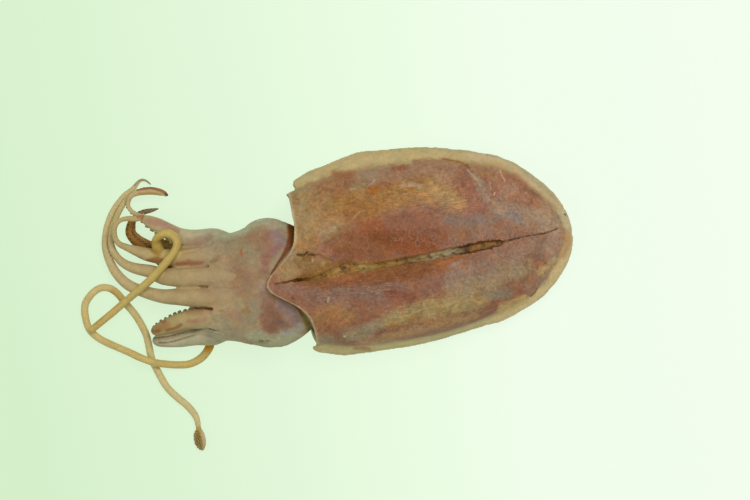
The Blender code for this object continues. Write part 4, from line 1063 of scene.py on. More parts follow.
# Paint for parts: strokes of colour, strength, raggedness, and a path with its half width there,
# in photograph pixels
PAINT = (
    (BODY,
     # pale band along the right fin
     ("C0AA7C", 0.9, 3.4, (292, 184, 7), (310, 176, 8), (330, 168, 9), (350, 162, 9.5), (380, 158, 9),
      (420, 154.5, 8), (450, 152, 8.5), (475, 155, 7.5)),
     ("C8AE88", 0.85, 3.6, (475, 155, 7), (500, 160, 6.5), (520, 170, 5.5), (535, 182, 5),
      (550, 196, 4.5), (563, 210, 4)),
     # tan front
     ("A58A5E", 0.9, 3, (300, 200, 13), (306, 225, 14), (300, 252, 12), (288, 272, 10)),
     ("A5865A", 0.8, 4, (320, 205, 16), (332, 226, 14)),
     ("9C8A68", 0.6, 2, (300, 205, 3), (303, 214, 3)),
     ("A9743F", 0.55, 4, (306, 245, 8), (316, 238, 7)),
     # upper side: mauve, ochre and rust
     ("A07C62", 0.85, 3, (355, 176, 7), (375, 174, 7), (400, 173, 7), (425, 172, 8), (450, 174, 8)),
     ("96826A", 0.6, 3, (356, 180, 6), (372, 177, 5)),
     ("A0714C", 0.75, 3, (325, 186, 7), (345, 180, 7), (352, 176, 5)),
     ("9C5C38", 0.8, 1.6, (336, 174.5, 3.4), (350, 174, 4.2)),
     ("A06C44", 0.5, 2, (308, 185, 3.5), (316, 185, 3)),
     ("A27843", 0.9, 5, (340, 205, 13), (370, 200, 14), (405, 194, 14), (432, 190, 10)),
     ("986834", 0.65, 4.5, (350, 213, 9), (374, 212, 9), (385, 204, 7)),
     ("A4652F", 0.7, 2.5, (372, 191, 5), (378, 190, 4)),
     ("B08C5A", 0.85, 5, (438, 192, 12), (450, 200, 11), (458, 203, 8)),
     ("8E553C", 0.75, 1.5, (393, 168, 2.8), (405, 167, 3)),
     ("9E6647", 0.65, 1.6, (415, 162, 3), (433, 161, 2.6), (450, 160, 2)),
     ("B8A284", 0.6, 1.2, (402, 186, 2), (412, 184.6, 2.4), (421, 187, 1.4)),
     ("9C8A68", 0.6, 1.5, (352, 189, 2), (366, 185, 2.2)),
     ("9F5F33", 0.7, 4, (360, 228, 7), (378, 226, 8)),
     # middle: red-brown with mauve
     ("80491E", 1.0, 5, (345, 244, 12), (375, 243, 14), (405, 240, 14), (430, 236, 12)),
     ("8E6340", 0.7, 4, (340, 243, 7), (362, 243, 8), (378, 250, 6)),
     ("8E5C42", 0.75, 4, (390, 222, 7), (410, 220, 8), (430, 219, 7)),
     ("8A4A20", 0.75, 3, (402, 246, 6), (416, 250, 6), (428, 247, 6), (444, 240, 5)),
     ("8A6450", 0.6, 3, (420, 232, 4), (432, 236, 4), (445, 244, 4)),
     ("92663F", 0.7, 3, (461, 236, 6), (470, 230, 6)),
     ("86705E", 0.7, 2, (452, 238, 3), (457, 246, 3)),
     ("B39A7A", 0.75, 1.6, (320, 233, 3.2), (332, 229, 3.6)),
     ("A9906C", 0.5, 1.6, (322, 240, 2.4), (330, 236, 2.4)),
     # front flap between the small cracks and the long one
     ("8C6C3E", 0.85, 2.5, (300, 262, 6), (312, 265, 8), (322, 268, 7)),
     ("94703C", 0.85, 1.2, (304, 259.5, 2.6), (311, 259.5, 2.6)),
     ("B3925C", 0.6, 1.4, (324, 264, 3), (330, 262, 2.4)),
     # rear right: pinkish red, rust and grey-blue
     ("9B6A55", 0.85, 4, (466, 190, 9), (478, 205, 10), (468, 214, 9)),
     ("A97C60", 0.85, 3, (492, 172, 5), (500, 182, 8), (510, 191, 7), (524, 200, 5)),
     ("A87F58", 0.7, 2.5, (475, 167, 4), (484, 172, 4)),
     ("A3684A", 0.7, 2, (503, 175, 3), (517, 176, 3), (524, 183, 3)),
     ("9E8A74", 0.8, 2.5, (474, 178, 4), (481, 187, 5), (486, 198, 5)),
     ("A48C74", 0.9, 4, (500, 208, 10), (520, 214, 11), (540, 222, 11), (550, 226, 8)),
     ("AE947A", 0.8, 3, (545, 210, 8), (552, 222, 8), (554, 238, 8), (551, 252, 6)),
     ("858081", 0.7, 2, (512, 214, 4), (517, 220, 4)),
     ("A58976", 0.5, 2, (505, 192, 4), (515, 188, 4)),
     ("A77355", 0.5, 3, (530, 200, 5), (544, 208, 5)),
     ("8A7A6C", 0.7, 3.6, (448, 219, 3.4), (464, 221, 4), (480, 223, 4.4), (494, 220, 4), (506, 218, 4),
      (522, 218, 4)),
     ("8C8278", 0.5, 2, (474, 215, 2), (484, 217, 2.6)),
     ("93755F", 0.7, 4, (475, 234, 6), (490, 232, 7), (510, 230, 7)),
     ("A2674B", 0.5, 2, (497, 226, 3), (503, 224, 3)),
     ("A8795A", 0.5, 2, (530, 230, 4), (536, 226, 4)),
     # below the crack
     ("84532C", 0.95, 4, (300, 285, 5), (325, 282, 7), (350, 280, 8), (380, 276, 9), (410, 271, 9),
      (436, 266, 8)),
     ("A0622E", 0.65, 2.4, (436, 262, 4), (452, 259, 3.6), (466, 257, 3)),
     ("A3602F", 0.75, 2.5, (444, 268, 4), (456, 269, 4), (466, 265, 3)),
     ("8C7C74", 0.8, 1, (449, 267, 1.6), (460, 262, 1.6)),
     ("A5683F", 0.6, 2, (326, 277, 3), (345, 278, 3.6), (356, 276, 3)),
     ("957060", 0.75, 3, (288, 288, 5), (303, 290, 5)),
     ("876A5C", 0.85, 4, (312, 297, 6), (340, 295, 8), (372, 292, 9), (398, 288, 8)),
     ("8D7766", 0.6, 3, (330, 288, 3), (350, 290, 3)),
     ("8A543F", 0.8, 3, (390, 292, 6), (405, 297, 6), (416, 299, 5), (409, 303, 3.6)),
     ("8F6554", 0.7, 3, (425, 290, 5), (435, 283, 5), (445, 276, 4)),
     ("987E6A", 0.85, 4, (455, 281, 10), (480, 270, 13), (510, 258, 13), (538, 246, 11)),
     ("9E8A6C", 0.85, 4, (455, 291, 8), (480, 284, 9), (505, 274, 9), (525, 268, 8)),
     ("908A74", 0.7, 2.5, (490, 294, 5), (506, 293, 5)),
     ("B08C74", 0.6, 3, (556, 232, 5), (558, 240, 5), (556, 250, 5)),
     ("A2784C", 0.75, 4, (318, 318, 8), (336, 313, 9), (350, 316, 7)),
     ("9C6F49", 0.75, 3, (322, 326, 6), (340, 322, 6)),
     ("96644A", 0.5, 2.5, (352, 301, 4), (362, 304, 4)),
     ("978A6C", 0.85, 3.4, (345, 335, 5), (368, 330, 5.5), (385, 321, 5)),
     ("928266", 0.85, 2.6, (316, 338, 4), (330, 339, 5)),
     ("A89366", 0.9, 4, (390, 318, 7), (420, 311, 9), (450, 306, 9), (480, 299, 7)),
     ("A88A54", 0.6, 2.5, (392, 325, 3.6), (415, 318, 3.6)),
     ("94602F", 0.5, 1.6, (388, 327, 2.2), (394, 325, 2)),
     ("A9855E", 0.85, 2.6, (362, 342, 4), (380, 339, 4.5), (405, 333, 5), (430, 327, 5), (455, 321, 5),
      (475, 316, 4)),
     ("9E643F", 0.7, 1.5, (356, 348, 3), (368, 349, 2.4)),
     ("A37A4A", 0.4, 2, (415, 316, 3), (440, 322, 3)),
     ("A08068", 0.8, 3, (530, 286, 6), (545, 272, 6), (553, 260, 5)),
     ("A0745A", 0.7, 2, (528, 277, 4), (534, 285, 4), (527, 291, 4)),
     ("A56F4D", 0.7, 2, (538, 266, 3.6), (545, 267, 3.6))),
    (MANTLE,
     # ochre and dark blotches round the long crack
     ("8C6226", 0.7, 3, (300, 279, 4), (312, 274, 6), (325, 271, 7), (345, 267, 7), (365, 266, 6),
      (385, 265, 5), (410, 260, 4)),
     ("6E4A1C", 0.75, 1.4, (340, 263, 2.4), (351, 262, 3), (358, 265, 2)),
     ("7A561E", 0.7, 1.2, (300, 277.4, 2), (310, 276, 2.4), (320, 275, 2)),
     ("B08A4C", 0.6, 1, (328, 276, 1.6), (338, 275, 1.8)),
     ("84541E", 0.7, 1.4, (374, 262, 2), (384, 263, 2), (396, 260, 1.6))),
    (BODY,
     # pale band along the left fin
     ("C2B084", 0.85, 2.2, (313, 350, 4), (335, 353, 3.6), (360, 353.6, 2.8), (385, 351.4, 2.6),
      (405, 347.6, 2.4), (430, 341, 2.6), (455, 334.6, 3), (472, 329, 3), (488, 323, 3.6)),
     ("D4BC8C", 0.85, 3, (488, 322.4, 3.8), (505, 316, 4.4), (519, 308.6, 4.8), (532, 301, 4.6),
      (543, 291, 4.2), (555, 277, 4.2), (563, 264, 3.8), (569, 250, 3)),
     ("C6A86C", 0.7, 2, (502, 308, 4), (514, 304, 4.4), (524, 299, 3)),
     ("BC9268", 0.85, 1.8, (567, 234, 3.8), (568, 245, 3.6), (564, 256, 3.6)),
     ("C6AC78", 0.7, 2.4, (540, 273, 3), (548, 268, 3.4), (556, 258, 2.6)),
     ("8C5C34", 0.85, 0.8, (470, 321.5, 1.2), (477, 319.6, 1.5), (486, 314.6, 1.3), (493, 311, 1)),
     ("80522C", 0.85, 0.7, (530, 296.4, 1), (535, 292.5, 1.2), (537, 288.5, 1)),
     # thin outer edges of the fins: painted light, the table's pale green glow showing through them
     ("A7A177", 0.55, 0.8, (292, 185, 1.5), (300, 177, 1.5), (315, 169, 1.6), (330, 162, 1.6),
      (345, 155, 1.6), (360, 151, 1.6), (380, 149, 1.5), (400, 147.6, 1.5), (430, 148, 1.5)),
     ("A9A37E", 0.65, 0.9, (430, 148, 1.5), (455, 150, 1.5), (480, 152.5, 1.6), (500, 157.5, 2),
      (512, 161, 2.2), (525, 170, 2.4), (538, 182, 2.4), (552, 196, 2), (560, 206, 1.6), (565, 214, 1.4)),
     ("B0AA80", 0.55, 0.7, (313, 349, 1.4), (320, 353.5, 1.4), (335, 354.8, 1.4), (352, 354, 1.3),
      (375, 352.5, 1.3), (400, 349.5, 1.3), (430, 343.5, 1.3), (455, 337, 1.4), (475, 331, 1.4),
      (495, 323, 1.4)),
     ("BEB28A", 0.55, 0.8, (495, 323, 1.4), (515, 314, 1.5), (530, 306, 1.6), (545, 294, 1.6),
      (556, 281, 1.6), (565, 266, 1.6), (571, 250, 1.5), (573, 240, 1.4), (571, 228, 1.3)),
     # tail
     ("C2B48C", 0.85, 1.4, (560, 210, 3), (565, 217, 3.6), (567, 225, 3.4)),
     ("5A5440", 0.9, 0.3, (564.6, 214.4, 0.9), (566, 215, 1)),
     # marks
     ("5A3612", 0.8, 0.4, (298, 255, 0.9), (304, 255.4, 1.1), (307.4, 252.4, 0.9), (308.6, 255, 0.9),
      (318, 254.6, 0.7)),
     ("86582C", 0.8, 0.8, (316, 254.8, 1), (322, 256, 1.6), (328, 259, 1.8), (332, 261, 1.2)),
     ("855A2C", 0.8, 0.4, (304.6, 258, 2), (311.4, 258.4, 2)),
     ("B9A070", 0.7, 0.3, (312.6, 258, 0.8), (313.4, 262, 0.8)),
     ("9A6A2C", 0.85, 0.5, (443, 158.8, 0.9), (453, 160.4, 1), (462, 163, 1.1), (468, 166.4, 1)),
     ("BEA88C", 0.65, 0.5, (467, 170, 0.7), (472, 176, 0.8), (477.5, 182, 0.9), (481, 186, 0.8)),
     ("5C4426", 0.9, 0.3, (292.4, 297.4, 0.9), (294.6, 298.4, 0.9)),
     ("6A4A26", 0.8, 0.3, (326.6, 299.6, 0.8), (326.2, 302.6, 0.8)),
     ("BCA170", 0.8, 0.3, (328.8, 297, 1), (328.6, 301, 1)),
     ("C8BEA2", 0.8, 0.3, (344, 335.8, 0.9), (345, 336.2, 0.9)),
     ("C2A48C", 0.75, 0.4, (500, 171, 0.8), (502, 177, 0.8), (504.6, 181, 0.8)),
     ("C0A084", 0.7, 0.4, (489.6, 183, 0.8), (490.6, 190, 0.8)),
     ("C0A084", 0.7, 0.4, (493, 196, 0.8), (495, 192.5, 0.8)),
     ("C2A07C", 0.6, 0.5, (526, 192, 0.8), (528.6, 197, 0.8)),
     ("BE9468", 0.7, 0.4, (353.5, 219, 0.7), (357, 214.6, 0.8), (361, 212, 0.6)),
     ("A8988C", 0.7, 0.5, (366, 188, 0.8), (371, 184, 0.8), (375, 179, 0.7))),
    (HEAD,
     # head
     ("958566", 0.8, 3, (224, 246, 8), (240, 242, 9), (252, 250, 8)),
     ("9A7A58", 0.8, 4, (238, 275, 12), (262, 277, 9)),
     ("A58E68", 0.7, 4, (214, 275, 9), (222, 298, 10)),
     ("A8A788", 0.85, 1.6, (226, 237, 4), (240, 231, 4), (252, 224, 4.4), (262, 220.4, 4.6),
      (274, 221, 4.4), (285, 226, 3.6)),
     ("AA9C86", 0.6, 2, (266, 223, 4), (276, 225, 4)),
     ("946E50", 0.75, 3, (252, 236, 6), (262, 240, 8), (268, 252, 7)),
     ("957656", 0.6, 4, (236, 262, 7), (246, 280, 8), (248, 298, 8)),
     ("A87A56", 0.5, 1.6, (232, 278, 2.4), (238, 284, 2)),
     ("97705A", 0.5, 1.6, (246, 268, 2), (250, 275, 2.4)),
     ("96685A", 0.65, 3, (268, 236, 5), (270, 248, 5), (268, 260, 4), (267, 272, 3)),
     ("8B7175", 0.75, 2.5, (277, 236, 6), (283, 243, 5), (276, 248, 5)),
     ("96605A", 0.6, 1.6, (276, 249, 3), (283, 246, 2.4)),
     ("A39678", 0.7, 2, (279, 257, 4), (274, 266, 3)),
     ("9D5C52", 0.5, 1.5, (263, 258, 2.4), (266, 264, 2.4)),
     ("A8653A", 0.85, 0.5, (241.4, 249.5, 1.2), (242, 254.6, 1.4)),
     ("A98E7C", 0.7, 2, (262, 284, 4), (266, 290, 4)),
     ("8E6A54", 0.8, 3, (264, 296, 5), (270, 302, 6)),
     ("7D543E", 0.85, 3, (270, 311, 8), (278, 319, 9), (272, 326, 8)),
     ("8C5E4A", 0.7, 2.5, (265, 319, 5), (268, 327, 5)),
     ("80686C", 0.7, 2.5, (283, 305, 5), (292, 313, 6), (298, 322, 5)),
     ("765250", 0.6, 2, (280, 321, 4), (288, 326, 4)),
     ("A09F92", 0.75, 2, (284, 333, 4), (297, 332, 4), (302, 325, 3)),
     ("A4A684", 0.85, 2, (252, 334, 5), (268, 338, 4.6), (285, 340, 4), (298, 336, 3.4)),
     ("9E9478", 0.85, 2, (240, 335, 4.4), (225, 331, 4.4), (212, 334, 5)),
     ("A2A684", 0.7, 1, (255, 344.6, 2.4), (275, 346, 2.6), (292, 343, 2.4)),
     ("6E6C42", 0.85, 0.5, (260, 340.8, 1.4), (263, 341, 1.2)),
     ("77724A", 0.75, 0.5, (266.6, 340.6, 1), (269, 340.4, 1)),
     ("77704A", 0.7, 0.8, (255, 322.4, 1.4), (257, 322, 1.2)),
     ("96733F", 0.7, 2.5, (246, 310, 4), (250, 313, 3)),
     ("8F866A", 0.7, 2.5, (252, 318, 5), (258, 310, 4), (254, 303, 4)),
     ("AA7F63", 0.6, 2.5, (228, 315, 4), (236, 314, 4)),
     ("968C6A", 0.7, 2.5, (215, 318, 5), (232, 323, 5)),
     ("7F7B45", 0.6, 0.8, (221, 310.6, 1.4), (223, 311, 1.2)),
     ("A99A68", 0.6, 2, (242, 299, 3), (243, 306, 3)),
     ("A57B60", 0.6, 1.5, (219, 258, 2.4), (222, 262, 2)),
     ("7E6A3A", 0.6, 1, (212, 262, 1.4), (217, 260, 1.4))),
)
ARM_PAINT = (
    (("arm_2_right", *HEAD), ("9A5E44", 0.75, 1.4, (178, 265, 3), (190, 263.6, 3.4), (202, 264, 2.4))),
    (("arm_2_right",),
     ("8E5526", 0.8, 1, (148, 261, 2), (158, 259.6, 3), (166, 262, 2)),
     ("93682E", 0.7, 1.2, (120, 250, 2), (128, 256, 2), (140, 260, 2))),
    (("arm_3_right",),
     ("A67566", 0.7, 1.6, (149, 221, 3), (156, 222, 3.6), (166, 226, 3.6), (176, 231, 3))),
    (("arm_3_right", *HEAD), ("94735C", 0.6, 2, (188, 244, 4), (200, 241, 4), (210, 238, 3.4))),
    (("arm_3_right",),
     ("A07058", 0.5, 1.4, (190, 248, 2), (206, 243, 2)),
     ("8A5830", 0.85, 0.5, (137, 189.6, 1.6), (150, 187.4, 1.8), (160, 190, 1.6), (167, 194, 1.6)),
     ("B9985A", 0.85, 0.5, (138, 193.4, 1.3), (150, 193.4, 1.6), (160, 194, 1.2)),
     ("4A3B2E", 0.8, 0.3, (165, 194, 1.4), (168, 195.6, 1.4))),
    (("arm_1_left",),
     ("8A8466", 0.8, 0.5, (134, 184, 2), (138, 179.6, 1.6), (144, 179.4, 1.6), (150, 184, 1.6))),
    (("arm_4_right",), ("857358", 0.85, 0.5, (137, 214, 2.4), (146, 211.6, 2.4), (158, 207.6, 2.4))),
    (("arm_2_left",),
     ("9A6E3E", 0.7, 1.4, (150, 330, 4), (158, 328, 4.6), (166, 325, 4)),
     ("96583A", 0.75, 1, (166, 330.4, 1.6), (173, 329, 1.6), (181, 325, 1.7)),
     ("8A5430", 0.7, 1, (152, 332, 1.6), (158, 331, 1.6))),
    (("arm_2_left", *HEAD),
     ("AA8358", 0.6, 2, (190, 313, 4), (200, 312, 4)),
     ("A57560", 0.5, 1.5, (194, 322, 2.4), (206, 319, 2.4))),
    # painted shade in the pit at the end of the slit between the first and second left arms, on the arm
    # and on the head
    (("arm_2_left",), ("6A2C10", 0.9, 0.3, (208, 307.6, 1.4), (212, 309, 1.6))),
    (HEAD, ("6A2C10", 0.9, 0.3, (206, 308.4, 1.6), (212, 309, 1.9))),
    (("arm_3_left",), ("A69C78", 0.7, 1, (160, 340, 2), (180, 337, 2), (200, 332, 2))),
    (("tentacle_right",), ("B08E3E", 0.6, 1.4, (161, 240, 5), (158, 250, 4))),
    (("tentacle_left",), ("CC8C10", 1.0, 1.2, (207, 336, 6), (208, 346, 6))),
    (("arm_2_right",), ("A6603C", 0.8, 0.5, (138, 216.4, 2), (143, 217, 2), (143, 220, 1.6))),
    (("arm_2_left",),
     ("8F6233", 0.6, 1, (160, 322, 1.6), (164, 321, 1.8)),
     ("A9775C", 0.6, 1, (188, 322, 2), (196, 320.6, 2))),
    # painted shade: a dark line in the slit between the second and third left arms
    (("arm_3_left", *HEAD),
     ("5E4A38", 0.75, 0.3, (152, 338.6, 0.8), (168, 336.8, 0.9), (180.6, 333.4, 0.9), (195, 330, 0.9),
      (208, 328.8, 0.8), (216, 330.6, 0.6))),
    # painted shade: a dark line in the slit between the third and fourth left arms
    (("arm_3_left",),
     ("6E5A46", 0.65, 0.3, (158, 343.4, 0.8), (171, 342.4, 0.8), (184, 338.4, 0.8), (194, 335, 0.6))),
    # painted shade: a faint dark line where the two first arms meet on the head
    (("arm_1_right", *HEAD),
     ("8A6E52", 0.45, 0.5, (214, 287.4, 0.7), (232, 287.4, 0.8), (244, 286.6, 0.7))),
    # painted shade: a dark line in the slit between the first and second right arms
    (HEAD, ("5A3E28", 0.7, 0.3, (196, 267, 0.9), (208, 266, 0.9))),
    (("tentacle_right",), ("B58A34", 0.55, 1, (150, 240, 3), (154, 250, 3), (158, 256, 3))),
    (("tentacle_left",), ("B08832", 0.6, 1.2, (112, 292, 4), (118, 298, 4))),
    (("tentacle_right",), ("B98E48", 0.5, 1.5, (95, 322, 3), (120, 300, 3))),
    (("club",),
     ("A89244", 0.8, 0.8, (197, 430, 3), (198, 440, 3.4), (199, 446, 3)),
     ("C4A888", 0.8, 0.6, (203.4, 434, 2), (204.6, 444, 2))),
)
# Painted shade in the gap between the head and the mantle's front edge, where the collar overhangs the
# head, with the brown and olive of the membrane that shows in the gap
GAP_SHADE_AND_MEMBRANE = (
    (HEAD,
     # painted shade under the collar's top corner, over the brown membrane there
     ("743F0E", 1.0, 0.4, (292, 226, 5), (293, 236, 5), (290, 245, 3.6), (285.4, 253, 2.2),
      (278, 264, 1.3), (271.6, 274, 0.9)),
     # painted shade: a thin dark line under the collar's lower edge
     ("7A4F2A", 0.95, 0.3, (268, 288, 0.7), (273, 294, 0.8), (283, 299, 1), (292, 303, 1.1),
      (299, 309, 1.3), (304, 317, 2)),
     # the olive membrane in the gap, its own colour
     ("7E763A", 0.95, 0.3, (304, 317, 2), (308, 325, 2.6), (311, 333, 2.4), (314, 341, 2))),
)

# Where fine whitish lines, fibres and red specks lie: strength, and a path with its half width
WEB = (
    (0.6, (340, 244, 9), (370, 242, 10)),
    (1.0, (392, 236, 10), (420, 236, 14), (450, 238, 12)),
    (0.8, (440, 272, 9), (470, 266, 9)),
    (0.8, (490, 190, 9), (520, 198, 10), (540, 212, 8)),
    (0.4, (330, 282, 4), (380, 278, 5)),
    (0.5, (480, 240, 10), (530, 228, 10)),
)
FIBRE = (
    (1.0, (400, 200, 14), (450, 200, 16), (470, 204, 10)),
    (0.5, (330, 210, 16), (370, 214, 12)),
    (0.7, (320, 292, 10), (400, 284, 10)),
    (0.7, (400, 310, 12), (470, 300, 12)),
)
SPECK = (
    (1.0, (350, 244, 14), (410, 240, 18), (440, 238, 16)),
    (0.8, (330, 282, 8), (430, 270, 10)),
    (0.7, (470, 190, 14), (520, 200, 14)),
    (0.6, (480, 250, 24), (530, 240, 18)),
)


def brush(spots, path, slack, shift):
    """Which spots lie near a path with half widths, and how near: 1 is the path's edge.

    shift moves each spot first, by no more than about slack.
    """
    path = np.array(path, dtype=float)
    reach = path[:, 2].max() * 2.0 + slack + 1.0
    low, high = path[:, :2].min(axis=0) - reach, path[:, :2].max(axis=0) + reach
    found = np.nonzero(np.all((spots > low) & (spots < high), axis=1))[0]
    here = spots[found] + shift[found]
    near = np.full(len(found), np.inf)
    for one, two in zip(path, path[1:]):
        way = two[:2] - one[:2]
        share = np.clip(((here - one[:2]) @ way) / max(way @ way, 1e-12), 0.0, 1.0)
        distance = np.linalg.norm(here - one[:2] - share[:, None] * way, axis=1)
        near = np.minimum(near, distance / (one[2] + share * (two[2] - one[2])))
    return found, near


def number_column(rows, at):
    """The numbers of a table of keys and numbers, read at these keys."""
    return np.interp(at, *zip(*rows))


def colour_column(rows, at):
    """The colours of a table of keys and colours, read at these keys."""
    codes = np.array([linear(row[1]) for row in rows])
    keys = [row[0] for row in rows]
    return np.stack([np.interp(at, keys, codes[:, k]) for k in range(3)], axis=1)


ARM_NAMES = tuple(row[0] for row in ARMS)

UPPER = (-0.1, 0.3)  # Z of the normals between which skin comes to count as the upper side
STEEP = (0.1, 0.5)  # the same for grooves, which are cut to their full depth above it
UNDER = (-0.45, 0.05)  # the same for where the belly's colour ends

SHARE_STEP = 0.5  # how finely an arm's length is told apart for its colour

EASE_ROUNDS, EASE_STEPS = 26, (0.6, -0.2)  # extra smoothing where parts join
EASE_SPREAD, EASE_FADE, EASE_GAIN = 9, 0.97, 1.4  # how many points far it reaches, and how strongly
TAIL_X = (36.5, 38.5)  # X between which the thin tail begins
TAIL_SPARED = 0.85  # how much of the extra smoothing is left out there
FIN_ROUNDS, FIN_MOVES, FIN_SPREAD = 14, (0.5, -0.515), 3  # smoothing of the fins and the tail

GROOVE_FLOOR = (0.25, 1.0)  # in half widths: where a groove's side starts and ends
GROOVE_LIP = (1.4, 0.35)  # in half widths: its lip's middle and width
CRACK_FLOOR, CRACK_LIP = (0.55, 1.0), (1.25, 0.22)  # the same for the long crack
CRACK_LIP_HEIGHT = 0.07
CRACK_SLACK = 3.0
CRACK_CLEAR = 1.3  # in half widths: how far round the crack the skin has no fine wrinkles
CRACK_FAR = 4.0  # the most half widths that are told apart
FILLED_FROM, FILLED_TO, FILLED_LOOSE = 318, 400, 1.9  # u where the crack wanders more, and how much

# Folds over the skin: where, shift, wave, octaves, height
WRINKLES = (
    ("body", 0.0, 4.5, 2, 0.16),
    ("body off the crack", 0.0, 1.3, 3, 0.06),
    ("head", 9.0, 2.4, 3, 0.09),
    ("arms", 5.0, 1.2, 2, 0.03),
)

EYE_OPENING = (0.84, 0.66)  # half length and half height of the lids' opening, in eye sizes
EYE_OPENING_DROP = 0.06  # how far its middle lies under the eye's
EYE_OPENING_EDGE = (0.8, 1.0)
EYE_SHOWS = 0.4  # how far the eyeball stands out of the skin behind it
EYE_FOLDS = ((1.5, 0.13), (1.95, 0.09))  # round the opening: reach in openings, height
EYE_FOLD_WIDTH = 0.14
EYE_FOLDS_FROM = (-0.6, 0.4)  # in eye sizes: the height from which they rise

# Noises that roughen the strokes: wave and shift. A ragged stroke takes more of each.
LARGE_WANDER, SMALL_WANDER, GROOVE_WANDER = (2.4, 57.0), (0.6, 91.0), (0.55, 7.0)
MASK_WANDER = (2.0, 3.0)
WANDER_APART = 31.0  # how far the noise of the second direction lies from that of the first
ROUGH_WAVE, ROUGH_SHIFT, ROUGH_HEIGHT = 0.45, 3.0, 0.3
LARGE_SHARE, SMALL_SHARE, SMALL_MOST = 1.3, 0.7, 1.4
SOFTEST = 1.6  # the raggedness from which a stroke's edge is fully soft
HARD_EDGE, SOFT_EDGE = (0.75, 1.15), (0.25, 1.75)  # in half widths: where its strength ends
MASK_SLACK, MASK_SHARE, MASK_EDGE = 4.0, 2.5, (0.5, 1.5)  # the same for the masks of fine marks
FAN_HEAD_X = (-14.5, -19.0)  # where the fan's colours begin on the head
FAN_ARMS_X = (-24.5, -19.5)  # and end on the arms
COLOUR_SPREAD = 40  # how many points far the parts' own colours run into each other
COARSE = {"arms": 0.3, "mantle": 1.0, "fins": 0.4, "head": 0.5}  # how strongly parts are mottled
COARSE_BELOW = 0.25  # the share of that on the underside
COARSE_SPREAD = 20
BODY_RICH = 1.04  # how much stronger the body's colours are painted, since light washes them out
RIM_COLOUR, RIM_STRENGTH = "C0B28A", 0.75  # the collar's pale front edge
RIM_PLACE = (0.12, 0.3)  # its middle and width, in millimetres behind the edge
BELLY_STRENGTH = 0.9


